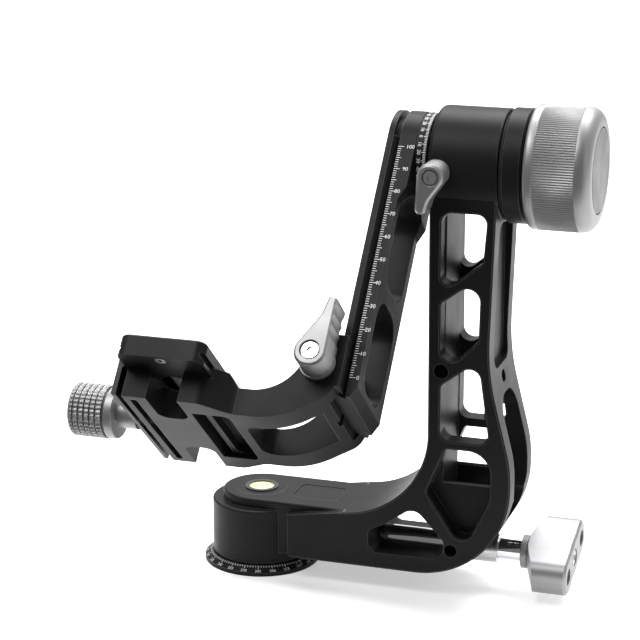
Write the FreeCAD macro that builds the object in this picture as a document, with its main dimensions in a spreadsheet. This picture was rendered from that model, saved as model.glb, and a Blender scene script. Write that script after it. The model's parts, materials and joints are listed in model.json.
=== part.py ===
import FreeCAD, Part
import math
import os

import Sketcher
from FreeCAD import Placement, Rotation, Vector

# Gimbal tripod head, in millimetres.
# The pan axis is Z through the origin and z = 0 is the bottom face of the base disc.
# The tilt axis is parallel to X, and +X points at the large drag knob.
# The swing arm and its cradle hang turned about the tilt axis, as they rest.

SIZES = {
    # pan base
    "dial_radius": 24.8,
    "dial_top_radius": 21.6,
    "dial_rim_height": 1.6,
    "dial_height": 3.8,
    "spindle_radius": 10.0,
    "spindle_neck_radius": 6.0,
    "spindle_neck_height": 19.6,
    "spindle_height": 28.6,
    "socket_radius": 4.7625,
    "socket_depth": 14.0,
    "bush_radius": 7.5,
    # running gaps and fits
    "running_gap": 0.05,
    "free_gap": 0.3,
    "joint_gap": 0.2,
    "half_gap": 0.1,
    # hub of the frame
    "hub_radius": 21.2,
    "hub_ledge_height": 27.9,
    "slab_start": 17.8,
    "slab_corner": 2.0,
    "washer_inner_radius": 13.4,
    "washer_outer_radius": 19.0,
    "washer_thickness": 0.6,
    "cavity_radius": 11.3,
    "race_thickness": 1.5,
    "race_width": 5.0,
    "pan_ball_count": 16,
    "nut_radius": 9.2,
    "nut_height": 3.4,
    "cap_height": 2.4,
    "cap_floor": 0.8,
    "cap_bevel": 0.35,
    "level_ring_radius": 7.2,
    "level_ring_bore": 5.4,
    "level_proud": 0.5,
    "vial_dome": 0.5,
    "badge_length": 19.2,
    "badge_width": 15.4,
    "badge_centre": 26.2,
    "badge_corner": 2.4,
    "badge_gap": 0.4,
    "badge_depth": 0.6,
    "badge_thickness": 0.4,
    # frame
    "frame_half_depth": 20.0,
    "wall_thickness": 8.0,
    "frame_bottom": 8.9,
    "frame_top": 32.0,
    "shoulder_half_width": 16.6,
    "ledge_round": 0.8,
    "plateau_round": 1.0,
    "shoulder_end": 44.0,
    "arm_left": 79.2,
    "arm_lean": 1.0,
    "arm_right": 103.6,
    "arm_waist_height": 99.0,
    "elbow_right": 113.9,
    "elbow_swell_height": 58.5,
    "elbow_radius": 40.0,
    "swell_radius": 55.0,
    "waist_radius": 95.0,
    "throat_radius": 38.0,
    "arm_top_right": 106.0,
    "edge_break": 0.6,
    "back_wall": 4.6,
    "tilt_height": 180.0,
    "housing_radius": 22.6,
    "housing_left": 77.7,
    "housing_right": 106.1,
    "housing_edge": 2.2,
    "window_bevel": 0.6,
    "side_slot_half_width": 12.0,
    "side_slot_low": 38.5,
    "side_slot_top": 86.0,
    "side_slot_round": 10.0,
    "channel_low": 28.0,
    "channel_low_top": 42.0,
    "channel_low_floor": 106.5,
    "channel_high": 97.3,
    "channel_high_top": 158.0,
    "channel_high_floor": 102.0,
    "channel_corner": 5.0,
    "hollow_right": 100.6,
    "hollow_low": 75.0,
    "hollow_high": 163.4,
    "set_screw_height": 92.0,
    "set_screw_radius": 2.9,
    "set_screw_depth": 4.4,
    "set_screw_length": 2.0,
    "set_screw_key": 1.5,
    "side_hole_x": 84.2,
    "side_hole_height": 97.6,
    "side_hole_radius": 3.1,
    "elbow_hole_x": 89.4,
    "elbow_hole_height": 20.6,
    "elbow_hole_radius": 2.7,
    "elbow_hole_depth": 6.0,
    # pan lock
    "rod_height": 16.2,
    "rod_radius": 5.0,
    "rod_neck_radius": 4.5,
    "rod_bush_radius": 6.1,
    "rod_bush_length": 18.0,
    "rod_bush_end": 105.6,
    "rod_start": 18.2,
    "rod_end": 127.5,
    "rod_collar_start": 115.8,
    "rod_collar_length": 2.6,
    "rod_collar_radius": 7.0,
    "shoe_radius": 3.4,
    "shoe_length": 7.2,
    "wing_length": 40.0,
    "wing_thickness": 15.5,
    "wing_start": 118.6,
    "wing_flare": 5.0,
    "wing_end": 137.8,
    "wing_neck": 7.2,
    "wing_waist": 7.3,
    "wing_waist_offset": 6.4,
    "wing_bevel": 1.0,
    "wing_round": 6.0,
    "wing_pocket_depth": 3.0,
    "wing_pocket_radius": 3.6,
    "wing_pocket_offset": 13.2,
    "wing_turn": 17.0,
    "wing_screw_head": 3.0,
    "wing_screw_sink": 2.0,
    "wing_screw_radius": 1.8,
    "wing_screw_grip": 7.0,
    # tilt shaft and drag
    "shaft_radius": 8.0,
    "drum_radius": 12.0,
    "drum_end": 87.0,
    "shaft_end": 134.0,
    "bearing_radius": 15.0,
    "bearing_left": 87.2,
    "bearing_right": 98.6,
    "bearing_width": 6.0,
    "tilt_race_thickness": 1.8,
    "tilt_ball_count": 14,
    "friction_inner": 12.0,
    "friction_outer": 21.2,
    "friction_thickness": 0.8,
    "collar_start": 107.1,
    "collar_end": 115.4,
    "collar_radius": 23.1,
    "collar_edge": 0.8,
    "drag_washer_radius": 15.0,
    "drag_washer_thickness": 0.6,
    "knob_start": 116.2,
    "knob_end": 142.6,
    "knob_radius": 25.0,
    "knob_shoulder": 5.5,
    "knob_lip": 1.8,
    "knob_cap_radius": 17.4,
    "knob_cap_depth": 1.6,
    "knob_cap_bevel": 0.6,
    # tilt lock lever
    "tilt_lever_x": 82.2,
    "tilt_lever_front": 34.2,
    "tilt_lever_head": 5.2,
    "tilt_lever_reach": 12.9,
    "tilt_lever_tip": 2.0,
    "tilt_lever_lean": 1.0,
    "tilt_lever_back": 23.5,
    "tilt_lever_recess": 3.4,
    "tilt_lever_turn": 180.0,
    "lever_screw_radius": 1.5,
    "lever_screw_head_height": 1.0,
    "lever_screw_grip": 3.4,
    "lever_screw_sink": 1.4,
    "screw_ring": 0.7,
    "screw_head_height": 1.6,
    "screw_key": 1.4,
    "screw_key_depth": 0.9,
    "stud_grip": 5.0,
    "lever_bevel": 0.9,
    "stud_radius": 2.5,
    "plug_radius": 3.4,
    "plug_length": 4.0,
    # swing arm, along its own length from the tilt axis
    "cradle_turn": 40.0,
    "swing_half_width": 19.33,
    "swing_left": 59.6,
    "rail_edge": 2.4,
    "rail_bevel": 2.9,
    "rail_neck": 16.6,
    "swing_body_left": 64.9,
    "swing_body_right": 69.0,
    "swing_boss_right": 71.6,
    "swing_boss_low": 22.6,
    "swing_boss_slope": 6.0,
    "swing_bottom": 113.2,
    "swing_round": 19.2,
    "swing_end_bevel": 4.5,
    "swing_end_inset": 2.4,
    "swing_window_half": 14.2,
    "swing_window_corner": 9.5,
    "swing_window_high_top": 20.4,
    "swing_window_high_bottom": 61.2,
    "swing_window_low_top": 67.8,
    "swing_window_low_bottom": 106.6,
    "scale_ring_end": 76.4,
    "scale_ring_radius": 19.2,
    "ring_bevel": 0.3,
    "arm_screw_head": 6.2,
    "arm_screw_sink": 1.0,
    "arm_screw_key": 2.9,
    "arm_screw_key_depth": 2.0,
    "arm_screw_head_height": 3.2,
    "arm_screw_radius": 3.5,
    "arm_screw_length": 22.0,
    "stop_screw_radius": 2.0,
    "stop_screw_height": 7.2,
    "stop_screw_proud": 1.0,
    "stop_screw_sink": 3.0,
    "stop_travel": 5.2,
    # cradle bracket, below the tilt axis
    "bracket_bottom": 127.5,
    "bracket_half_width": 26.0,
    "clamp_half_width": 33.6,
    "clamp_left": 17.9,
    "clamp_taper_start": 13.0,
    "clamp_taper_end": 24.0,
    "plan_corner": 9.0,
    "side_corner": 6.0,
    "side_corner_start": 7.0,
    "shelf_depth": 116.0,
    "lip_end": 21.0,
    "floor_depth": 116.6,
    "floor_start": 25.0,
    "inner_wall": 48.6,
    "inner_radius": 19.0,
    "outer_wall": 62.3,
    "outer_slope_x": 42.3,
    "outer_slope_depth": 114.9,
    "outer_radius": 35.0,
    "heel_radius": 9.0,
    "hook_right": 63.6,
    "hook_low": 112.0,
    "bracket_top": 91.0,
    "groove_gap": 0.15,
    "bracket_slot_half": 14.0,
    "bracket_slot_start": 26.6,
    "bracket_slot_end": 42.6,
    "bracket_slot_corner": 5.0,
    "slot_rise_start": 35.0,
    "slot_rise_end": 56.0,
    "slot_rise_depth": 110.5,
    "slot_rise_top": 100.0,
    "bite_left": 8.0,
    "bite_right": 4.8,
    "bite_depth": 18.6,
    "bite_corner": 4.5,
    "pocket_left": 7.2,
    "pocket_right": 22.6,
    "pocket_half": 22.5,
    "pocket_depth": 6.5,
    "pocket_corner": 3.0,
    "rib_left": 10.4,
    "rib_right": 12.8,
    "rib_drop": 2.5,
    "slit_left": 15.4,
    "slit_right": 12.6,
    "slit_half": 30.5,
    "slit_depth": 5.0,
    # cradle lock lever and gib
    "cradle_lever_x": 54.0,
    "cradle_lever_depth": 103.8,
    "cradle_lever_front": 39.6,
    "cradle_lever_head": 6.3,
    "cradle_lever_reach": 21.0,
    "cradle_lever_tip": 1.7,
    "cradle_lever_lean": 0.1,
    "scallop_radius": 4.0,
    "scallop_depth": 0.6,
    "scallop_height": 8.8,
    "scallop_pitch": 4.4,
    "cradle_lever_flange": 6.9,
    "flange_thickness": 2.0,
    "cradle_stud_radius": 3.0,
    "cradle_lever_recess": 4.0,
    "gib_end": 23.6,
    "gib_half_height": 7.5,
    "gib_left": 52.0,
    # clamp screw, knob and jaw
    "clamp_screw_depth": 122.0,
    "clamp_screw_radius": 3.0,
    "clamp_screw_end": 4.5,
    "clamp_knob_outer": 49.8,
    "clamp_knob_inner": 31.0,
    "clamp_knob_radius": 10.7,
    "clamp_knob_round": 1.6,
    "clamp_knob_bands": 6,
    "clamp_groove_width": 0.7,
    "clamp_groove_depth": 0.7,
    "clamp_flange_length": 4.4,
    "clamp_sleeve_radius": 5.8,
    "clamp_flange_inset": 0.4,
    "clamp_socket_wall": 3.0,
    "jaw_outer": 22.5,
    "jaw_inner": 20.3,
    "jaw_bottom": 127.2,
    "jaw_bevel": 0.5,
    "guide_pin_radius": 1.8,
    "guide_pin_spacing": 20.0,
    "guide_pin_length": 13.0,
    # camera plate
    "plate_left": 18.9,
    "plate_right": 15.8,
    "plate_near": 46.8,
    "plate_far": 38.2,
    "plate_bottom": 115.8,
    "plate_top": 107.2,
    "plate_flange": 1.4,
    "plate_bevel": 1.6,
    "plate_neck_height": 1.2,
    "plate_corner": 4.0,
    "plate_slot_half": 3.5,
    "plate_slot_near": 26.0,
    "plate_slot_far": 20.0,
    "plate_slot_step": 2.6,
    "plate_slot_ledge": 3.0,
    "pad_width": 5.0,
    "pad_length": 66.0,
    "pad_thickness": 0.6,
    "pad_inset": 3.2,
    "pad_proud": 0.1,
    "camera_screw_radius": 3.175,
    "camera_screw_neck": 2.9,
    "camera_screw_clear": 0.4,
    "camera_screw_rise": 5.5,
    "camera_screw_head": 5.4,
    "camera_screw_y": 3.0,
    "stop_pin_inset": 3.4,
    "stop_pin_radius": 2.2,
    "stop_pin_height": 2.6,
    "stop_pin_key": 1.1,
}

# Side windows of the frame: corners (x, z, rounding) of each opening.
WINDOWS = {
    "high_window": [(83.3, 163.2, 4.5), (102.1, 163.2, 4.0), (100.6, 143.7, 2.5), (83.3, 129.8, 3.6)],
    "middle_window": [(83.6, 125.7, 2.5), (99.9, 137.6, 5.1), (99.4, 111.2, 3.0), (83.7, 95.6, 4.6)],
    "low_window": [(84.1, 91.3, 3.0), (99.5, 102.9, 4.5), (104.6, 68.2, 3.5), (84.1, 68.2, 4.0)],
    "elbow_window": [(86.6, 64.6, 1.8), (105.4, 64.6, 9.5), (105.4, 44.3, 12.0), (94.6, 20.9, 4.9),
                     (78.6, 44.9, 2.2)],
    "base_window": [(54.0, 16.0, 4.2), (86.4, 16.0, 5.5), (86.4, 24.4, 2.5), (73.6, 38.0, 5.5),
                    (62.5, 29.9, 6.0), (54.0, 25.7, 3.0)],
}
CORNER_NAMES = "abcdef"

for window, window_corners in WINDOWS.items():
    for letter, corner in zip(CORNER_NAMES, window_corners):
        for side, number in zip(("x", "z", "round"), corner):
            SIZES[f"{window}_{letter}_{side}"] = number

SHEET_NAME = "sizes"

doc = FreeCAD.newDocument("gimbal_head")
sheet = doc.addObject("Spreadsheet::Sheet", SHEET_NAME)
for row, (alias, number) in enumerate(SIZES.items(), start=1):
    sheet.set(f"A{row}", alias)
    sheet.set(f"B{row}", str(number))
    sheet.setAlias(f"B{row}", alias)
doc.recompute()


class Size:
    """A number together with the formula that ties it to the sheet."""

    def __init__(self, value, formula):
        self.value = float(value)
        self.formula = formula

    def __add__(self, other):
        other = size(other)
        return Size(self.value + other.value, f"({self.formula} + {other.formula})")

    def __sub__(self, other):
        other = size(other)
        return Size(self.value - other.value, f"({self.formula} - {other.formula})")

    def __mul__(self, other):
        other = size(other)
        return Size(self.value * other.value, f"({self.formula} * {other.formula})")

    def __truediv__(self, other):
        other = size(other)
        return Size(self.value / other.value, f"({self.formula} / {other.formula})")

    def __neg__(self):
        return Size(-self.value, f"(-1 * {self.formula})")

    __radd__ = __add__


def size(thing):
    """Return a Size for a plain number, or the Size itself."""
    if isinstance(thing, Size):
        return thing
    return Size(thing, str(thing))


class Sizes:
    """Looks up a driving dimension of the sheet by its name."""

    def __getattr__(self, alias):
        return Size(sheet.get(alias), f"{SHEET_NAME}.{alias}")


s = Sizes()
ZERO = size(0)


def bind(thing, path, amount):
    """Tie one property of a document object to the sheet."""
    thing.setExpression(path, size(amount).formula)


# Placements

def put(thing, x=ZERO, y=ZERO, z=ZERO, axis=None, angle=ZERO):
    """Place an object at a point given in sizes, turned about an axis."""
    x, y, z, angle = size(x), size(y), size(z), size(angle)
    turn = Rotation(axis or Vector(0, 0, 1), angle.value)
    thing.Placement = Placement(Vector(x.value, y.value, z.value), turn)
    for name, amount in (("x", x), ("y", y), ("z", z)):
        bind(thing, f"Placement.Base.{name}", amount)
    if axis is not None:
        bind(thing, "Placement.Rotation.Angle", angle)
    return thing


X_AXIS = Vector(1, 0, 0)


Y_AXIS = Vector(0, 1, 0)


def put_on_tilt_axis(thing):
    """Place an object drawn about the tilt axis and fixed to the frame."""
    return put(thing, z=s.tilt_height)


def put_in_cradle(thing):
    """Place an object drawn in the swing arm's own axes."""
    return put(thing, z=s.tilt_height, axis=X_AXIS, angle=-s.cradle_turn)


# Sketches and features of a body

PIECES = []


def new_piece(kind, label):
    """Add one physical piece to the document."""
    thing = doc.addObject(kind, label)
    thing.Label = label
    PIECES.append(thing)
    return thing


def new_body(label):
    return new_piece("PartDesign::Body", label)


def new_sketch(body, role, offset=ZERO, rise=ZERO):
    """Start a sketch on a main plane of the body, moved along its normal and its vertical."""
    plane = [item for item in body.Origin.OriginFeatures if item.Role == role][0]
    sketch = body.newObject("Sketcher::SketchObject", f"{body.Name}_sketch")
    sketch.AttachmentSupport = (plane, [""])
    sketch.MapMode = "FlatFace"
    offset, rise = size(offset), size(rise)
    sketch.AttachmentOffset = Placement(Vector(0, rise.value, offset.value), Rotation())
    bind(sketch, "AttachmentOffset.Base.y", rise)
    bind(sketch, "AttachmentOffset.Base.z", offset)
    return sketch


def constrain(sketch, constraints, bound):
    """Add constraints; the bound ones are (kind, element, point, size)."""
    start = sketch.ConstraintCount
    plain = list(constraints)
    for kind, element, point, amount in bound:
        if point:
            plain.append(Sketcher.Constraint(kind, element, point, amount.value))
        else:
            plain.append(Sketcher.Constraint(kind, element, amount.value))
    sketch.addConstraint(plain)
    first = start + len(constraints)
    for index, (kind, element, point, amount) in enumerate(bound):
        sketch.setExpression(f"Constraints[{first + index}]", amount.formula)


def draw_outline(sketch, corners):
    """Draw a closed outline through corners (x, y, radius), each corner rounded."""
    corners = [tuple(size(item) for item in corner) for corner in corners]
    count = len(corners)
    points = [Vector(x.value, y.value, 0) for x, y, radius in corners]
    entries, exits, arcs = [], [], []
    for index, (x, y, radius) in enumerate(corners):
        here = points[index]
        before = (here - points[index - 1]).normalize()
        after = (points[(index + 1) % count] - here).normalize()
        if radius.value <= 0:
            entries.append(here)
            exits.append(here)
            arcs.append(None)
            continue
        turn = before.getAngle(after)
        length = radius.value * math.tan(turn / 2)
        entry = here - before * length
        leave = here + after * length
        left = before.cross(after).z > 0
        side = Vector(-before.y, before.x, 0) if left else Vector(before.y, -before.x, 0)
        centre = entry + side * radius.value
        first, last = (entry, leave) if left else (leave, entry)
        angles = [math.atan2(point.y - centre.y, point.x - centre.x) for point in (first, last)]
        circle = Part.Circle(centre, Vector(0, 0, 1), radius.value)
        arcs.append((Part.ArcOfCircle(circle, angles[0], angles[1]), left, radius))
        entries.append(entry)
        exits.append(leave)
    lines = []
    for index in range(count):
        following = (index + 1) % count
        segment = Part.LineSegment(exits[index], entries[following])
        lines.append(sketch.addGeometry(segment, False))
    constraints, bound = [], []
    for index, (x, y, radius) in enumerate(corners):
        line_in, line_out = lines[index - 1], lines[index]
        if arcs[index] is None:
            constraints.append(Sketcher.Constraint("Coincident", line_in, 2, line_out, 1))
            bound.append(("DistanceX", line_in, 2, x))
            bound.append(("DistanceY", line_in, 2, y))
            continue
        curve, left, amount = arcs[index]
        arc = sketch.addGeometry(curve, False)
        corner = sketch.addGeometry(Part.Point(points[index]), True)
        near, far = (1, 2) if left else (2, 1)
        constraints.append(Sketcher.Constraint("Tangent", line_in, 2, arc, near))
        constraints.append(Sketcher.Constraint("Tangent", arc, far, line_out, 1))
        constraints.append(Sketcher.Constraint("PointOnObject", corner, 1, line_in))
        constraints.append(Sketcher.Constraint("PointOnObject", corner, 1, line_out))
        bound.append(("DistanceX", corner, 1, x))
        bound.append(("DistanceY", corner, 1, y))
        bound.append(("Radius", arc, 0, amount))
    constrain(sketch, constraints, bound)


def draw_box(sketch, left, right, low, high, radius=ZERO):
    draw_outline(sketch, [(left, low, radius), (right, low, radius),
                          (right, high, radius), (left, high, radius)])


def draw_circle(sketch, x, y, radius):
    x, y, radius = size(x), size(y), size(radius)
    circle = Part.Circle(Vector(x.value, y.value, 0), Vector(0, 0, 1), radius.value)
    element = sketch.addGeometry(circle, False)
    bound = [("DistanceX", element, 3, x), ("DistanceY", element, 3, y), ("Radius", element, 0, radius)]
    constrain(sketch, [], bound)


def add_feature(body, kind, sketch, length, both_ways=False, reverse=False):
    feature = body.newObject(kind, f"{body.Name}_{kind.split('::')[1]}")
    feature.Profile = sketch
    if both_ways:
        feature.SideType = "Symmetric"
    feature.Reversed = reverse
    feature.Length = size(length).value
    bind(feature, "Length", length)
    return feature


def pad(body, sketch, length, both_ways=False, reverse=False):
    return add_feature(body, "PartDesign::Pad", sketch, length, both_ways, reverse)


def pocket(body, sketch, length, both_ways=False, reverse=False):
    return add_feature(body, "PartDesign::Pocket", sketch, length, both_ways, reverse)


def revolve(body, sketch, axis, cut=False):
    kind = "PartDesign::Groove" if cut else "PartDesign::Revolution"
    feature = body.newObject(kind, f"{body.Name}_turn")
    feature.Profile = sketch
    feature.ReferenceAxis = (sketch, [axis])
    feature.Angle = 360
    return feature


def turned(label, axis, corners):
    """A turned piece: corners (along, radius, rounding) about its own X, Y or Z axis."""
    body = new_body(label)
    sketch = new_sketch(body, "XY_Plane" if axis == "Y" else "XZ_Plane")
    if axis == "X":
        draw_outline(sketch, [(along, radius, round_) for along, radius, round_ in corners])
        revolve(body, sketch, "H_Axis")
    else:
        draw_outline(sketch, [(radius, along, round_) for along, radius, round_ in corners])
        revolve(body, sketch, "V_Axis")
    return body


def ring(label, axis, start, end, inner, outer, bevel=ZERO):
    """A plain ring, or a disc where the inner radius is nought."""
    if size(bevel).value:
        corners = [(start, inner, 0), (start, outer - bevel, 0), (start + bevel, outer, 0),
                   (end - bevel, outer, 0), (end, outer - bevel, 0), (end, inner, 0)]
    else:
        corners = [(start, inner, 0), (start, outer, 0), (end, outer, 0), (end, inner, 0)]
    return turned(label, axis, corners)


def edges_where(feature, test):
    """Names of the edges of a feature whose every vertex passes a test."""
    names = []
    for index, edge in enumerate(feature.Shape.Edges, start=1):
        if all(test(vertex.Point) for vertex in edge.Vertexes):
            names.append(f"Edge{index}")
    return names


def chamfer(body, feature, test, amount):
    """Bevel the edges of a feature that pass a test."""
    doc.recompute()
    dressing = body.newObject("PartDesign::Chamfer", f"{body.Name}_bevel")
    dressing.Base = (feature, edges_where(feature, test))
    dressing.Size = size(amount).value
    bind(dressing, "Size", amount)
    return dressing


def near(first, second):
    return abs(first - size(second).value) < 1e-4


def sine(angle):
    return Size(math.sin(math.radians(angle.value)), f"sin({angle.formula} * 1 deg)")


def cosine(angle):
    return Size(math.cos(math.radians(angle.value)), f"cos({angle.formula} * 1 deg)")


def cradle_point(y, z):
    """World y and z of a point given in the swing arm's own axes."""
    y, z = size(y), size(z)
    sin_turn, cos_turn = sine(s.cradle_turn), cosine(s.cradle_turn)
    return y * cos_turn + z * sin_turn, s.tilt_height - y * sin_turn + z * cos_turn


def put_on_cradle(thing, x=ZERO, y=ZERO, z=ZERO):
    """Place an object at a point of the swing arm's own axes."""
    world_y, world_z = cradle_point(y, z)
    return put(thing, x=x, y=world_y, z=world_z, axis=X_AXIS, angle=-s.cradle_turn)


# Pan base

def make_base_disc():
    return turned("base_disc", "Z", [
        (0, s.spindle_radius, 0), (0, s.dial_radius, 0), (s.dial_rim_height, s.dial_radius, 0),
        (s.dial_height, s.dial_top_radius, 0), (s.dial_height, s.spindle_radius, 0)])


def make_pan_spindle():
    return turned("pan_spindle", "Z", [
        (0, s.bush_radius, 0), (0, s.spindle_radius, 0), (s.spindle_neck_height, s.spindle_radius, 0),
        (s.spindle_neck_height, s.spindle_neck_radius, 0), (s.spindle_height, s.spindle_neck_radius, 0),
        (s.spindle_height, 0, 0), (s.socket_depth, 0, 0), (s.socket_depth, s.bush_radius, 0)])


def make_balls(label, axis, orbit, radius, count):
    """A ring of bearing balls about its own X or Z axis, in one node."""
    orbit, radius = size(orbit), size(radius)
    balls = []
    for index in range(int(count.value)):
        angle = 2 * math.pi * index / count.value
        first, second = orbit.value * math.cos(angle), orbit.value * math.sin(angle)
        if axis == "X":
            centre = Vector(0, first, second)
        else:
            centre = Vector(first, second, 0)
        balls.append(Part.makeSphere(radius.value, centre))
    group = new_piece("Part::Feature", label)
    group.Shape = Part.makeCompound(balls)
    return group


def make_pan_bearing():
    start = s.spindle_neck_height
    inner_edge = s.spindle_neck_radius + s.race_thickness
    outer_edge = s.cavity_radius - s.race_thickness
    ring("pan_bearing_inner_race", "Z", start, start + s.race_width, s.spindle_neck_radius, inner_edge)
    ring("pan_bearing_outer_race", "Z", start + s.joint_gap, start + s.race_width + s.joint_gap,
         outer_edge, s.cavity_radius)
    balls = make_balls("pan_bearing_balls", "Z", (inner_edge + outer_edge) / 2,
                       (outer_edge - inner_edge) / 2 - s.running_gap, s.pan_ball_count)
    put(balls, z=start + s.race_width / 2)


def make_pan_nut():
    """Hexagonal nut that holds the bearing on the spindle."""
    start = s.spindle_neck_height + s.race_width
    prism = doc.addObject("Part::Prism", "pan_nut_hexagon")
    prism.Polygon = 6
    bind(prism, "Circumradius", s.nut_radius)
    bind(prism, "Height", s.nut_height)
    hole = doc.addObject("Part::Cylinder", "pan_nut_hole")
    bind(hole, "Radius", s.spindle_neck_radius)
    bind(hole, "Height", s.nut_height)
    nut = new_piece("Part::Cut", "pan_nut")
    nut.Base, nut.Tool = prism, hole
    return put(nut, z=start)


def make_level():
    """Round cap of the hub with its bubble level."""
    low = s.frame_top - s.cap_height
    floor = low + s.cap_floor
    turned("hub_cap", "Z", [
        (low, 0, 0), (low, s.cavity_radius, 0), (s.frame_top - s.cap_bevel, s.cavity_radius, 0),
        (s.frame_top, s.cavity_radius - s.cap_bevel, 0), (s.frame_top, s.level_ring_radius, 0),
        (floor, s.level_ring_radius, 0), (floor, 0, 0)])
    ring("level_ring", "Z", floor, s.frame_top + s.level_proud, s.level_ring_bore, s.level_ring_radius)
    turned("level_vial", "Z", [
        (floor, 0, 0), (floor, s.level_ring_bore, 0), (s.frame_top, s.level_ring_bore, 0),
        (s.frame_top + s.vial_dome, s.level_ring_bore / 2, 0), (s.frame_top + s.vial_dome, 0, 0)])


def make_badge():
    body = new_body("badge_plate")
    sketch = new_sketch(body, "XY_Plane", s.frame_top - s.badge_depth)
    draw_box(sketch, s.badge_centre - s.badge_length / 2, s.badge_centre + s.badge_length / 2,
             -s.badge_width / 2, s.badge_width / 2, s.badge_corner)
    pad(body, sketch, s.badge_thickness)


# Frame

def frame_profile(sketch):
    """Side view of the base arm, elbow and upright."""
    draw_outline(sketch, [
        (s.slab_start, s.frame_bottom, s.slab_corner),
        (s.elbow_right, s.frame_bottom, s.elbow_radius),
        (s.elbow_right, s.elbow_swell_height, s.swell_radius),
        (s.arm_right, s.arm_waist_height, s.waist_radius),
        (s.arm_top_right, s.tilt_height, 0),
        (s.arm_left - s.arm_lean, s.tilt_height, 0),
        (s.arm_left, s.frame_top, s.throat_radius),
        (s.slab_start, s.frame_top, 0)])


def draw_window(sketch, window):
    """Draw one named side window from its corners in the sheet."""
    letters = CORNER_NAMES[:len(WINDOWS[window])]
    draw_outline(sketch, [
        tuple(getattr(s, f"{window}_{letter}_{side}") for side in ("x", "z", "round"))
        for letter in letters])


def draw_hexagon(sketch, radius):
    """Draw the hexagon of a key socket around the sketch's origin."""
    corners = []
    for index in range(6):
        angle = math.radians(60 * index)
        corners.append((radius * round(math.cos(angle), 6), radius * round(math.sin(angle), 6), 0))
    draw_outline(sketch, corners)


def bore_across(body, x, z, radius, start, length):
    """Cut a round hole towards +Y, starting at the distance start in front of the XZ plane."""
    sketch = new_sketch(body, "XZ_Plane", start)
    draw_circle(sketch, x, z, radius)
    return pocket(body, sketch, length)


def make_main_frame():
    body = new_body("main_frame")
    side = new_sketch(body, "XZ_Plane")
    frame_profile(side)
    slab = pad(body, side, s.frame_half_depth * 2, both_ways=True)
    half_depth = s.frame_half_depth.value
    chamfer(body, slab, lambda point: near(abs(point.y), half_depth), s.edge_break)

    shoulder = new_sketch(body, "XZ_Plane")
    draw_outline(shoulder, [
        (s.slab_start, s.hub_ledge_height, 0), (s.shoulder_end, s.frame_top, 0),
        (s.slab_start, s.frame_top + s.edge_break, 0)])
    pocket(body, shoulder, s.frame_half_depth * 2, both_ways=True)

    plateau = new_sketch(body, "YZ_Plane")
    half_width = s.shoulder_half_width
    draw_outline(plateau, [
        (-half_width, s.frame_bottom, 0), (half_width, s.frame_bottom, 0),
        (half_width, s.frame_top, s.plateau_round), (-half_width, s.frame_top, s.plateau_round)])
    pad(body, plateau, s.shoulder_end + s.plateau_round)

    hub_low = s.dial_height + s.joint_gap
    hub = new_sketch(body, "XZ_Plane")
    draw_outline(hub, [
        (0, hub_low, 0), (s.hub_radius - s.edge_break, hub_low, 0),
        (s.hub_radius, hub_low + s.edge_break, 0), (s.hub_radius, s.hub_ledge_height, s.ledge_round),
        (half_width, s.hub_ledge_height, 0), (half_width, s.frame_top, s.plateau_round),
        (0, s.frame_top, 0)])
    revolve(body, hub, "V_Axis")

    housing = new_sketch(body, "XZ_Plane", rise=s.tilt_height)
    draw_outline(housing, [
        (s.housing_left, 0, 0), (s.housing_right, 0, 0), (s.housing_right, s.housing_radius, s.edge_break),
        (s.housing_left, s.housing_radius, s.housing_edge)])
    revolve(body, housing, "H_Axis")

    cut_openings(body)
    cut_bores(body)


def cut_openings(body):
    """Cut the side windows, the hollow behind them, the slot and channels in the back."""
    through = s.frame_half_depth * 2
    face = s.frame_half_depth.value
    for turn in (1, -1):
        for window in ("high_window", "middle_window", "low_window", "elbow_window"):
            sketch = new_sketch(body, "XZ_Plane", s.frame_half_depth * turn)
            draw_window(sketch, window)
            hole = pocket(body, sketch, s.wall_thickness, reverse=turn < 0)
            across = [corner[0] for corner in WINDOWS[window]]
            rise = [corner[1] for corner in WINDOWS[window]]
            chamfer(body, hole, lambda point: (
                near(point.y, -turn * face) and min(across) - 0.1 < point.x < max(across) + 0.1
                and min(rise) - 0.1 < point.z < max(rise) + 0.1), s.window_bevel)
        for x, z, radius in ((s.side_hole_x, s.side_hole_height, s.side_hole_radius),
                             (s.elbow_hole_x, s.elbow_hole_height, s.elbow_hole_radius)):
            sketch = new_sketch(body, "XZ_Plane", s.frame_half_depth * turn)
            draw_circle(sketch, x, z, radius)
            pocket(body, sketch, s.elbow_hole_depth, reverse=turn < 0)
    sketch = new_sketch(body, "XZ_Plane")
    draw_window(sketch, "base_window")
    pocket(body, sketch, through, both_ways=True)
    half, inside = s.side_slot_half_width, s.arm_left + s.back_wall
    sketch = new_sketch(body, "XZ_Plane")
    draw_box(sketch, inside, s.hollow_right, s.hollow_low, s.hollow_high)
    pocket(body, sketch, half * 2, both_ways=True)
    for start, low, high, corner in (
            (inside, s.side_slot_low, s.side_slot_top, s.side_slot_round),
            (s.channel_low_floor, s.channel_low, s.channel_low_top, s.channel_corner),
            (s.channel_high_floor, s.channel_high, s.channel_high_top, s.channel_corner)):
        sketch = new_sketch(body, "YZ_Plane", start)
        draw_box(sketch, -half, half, low, high, corner)
        pocket(body, sketch, through, reverse=True)
    sketch = new_sketch(body, "XY_Plane", s.frame_top)
    length, width = s.badge_length / 2 + s.badge_gap, s.badge_width / 2 + s.badge_gap
    draw_box(sketch, s.badge_centre - length, s.badge_centre + length, -width, width,
             s.badge_corner + s.badge_gap)
    pocket(body, sketch, s.badge_depth)
    sketch = new_sketch(body, "YZ_Plane", s.arm_top_right)
    draw_circle(sketch, 0, s.set_screw_height, s.set_screw_radius)
    pocket(body, sketch, s.set_screw_depth)


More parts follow.
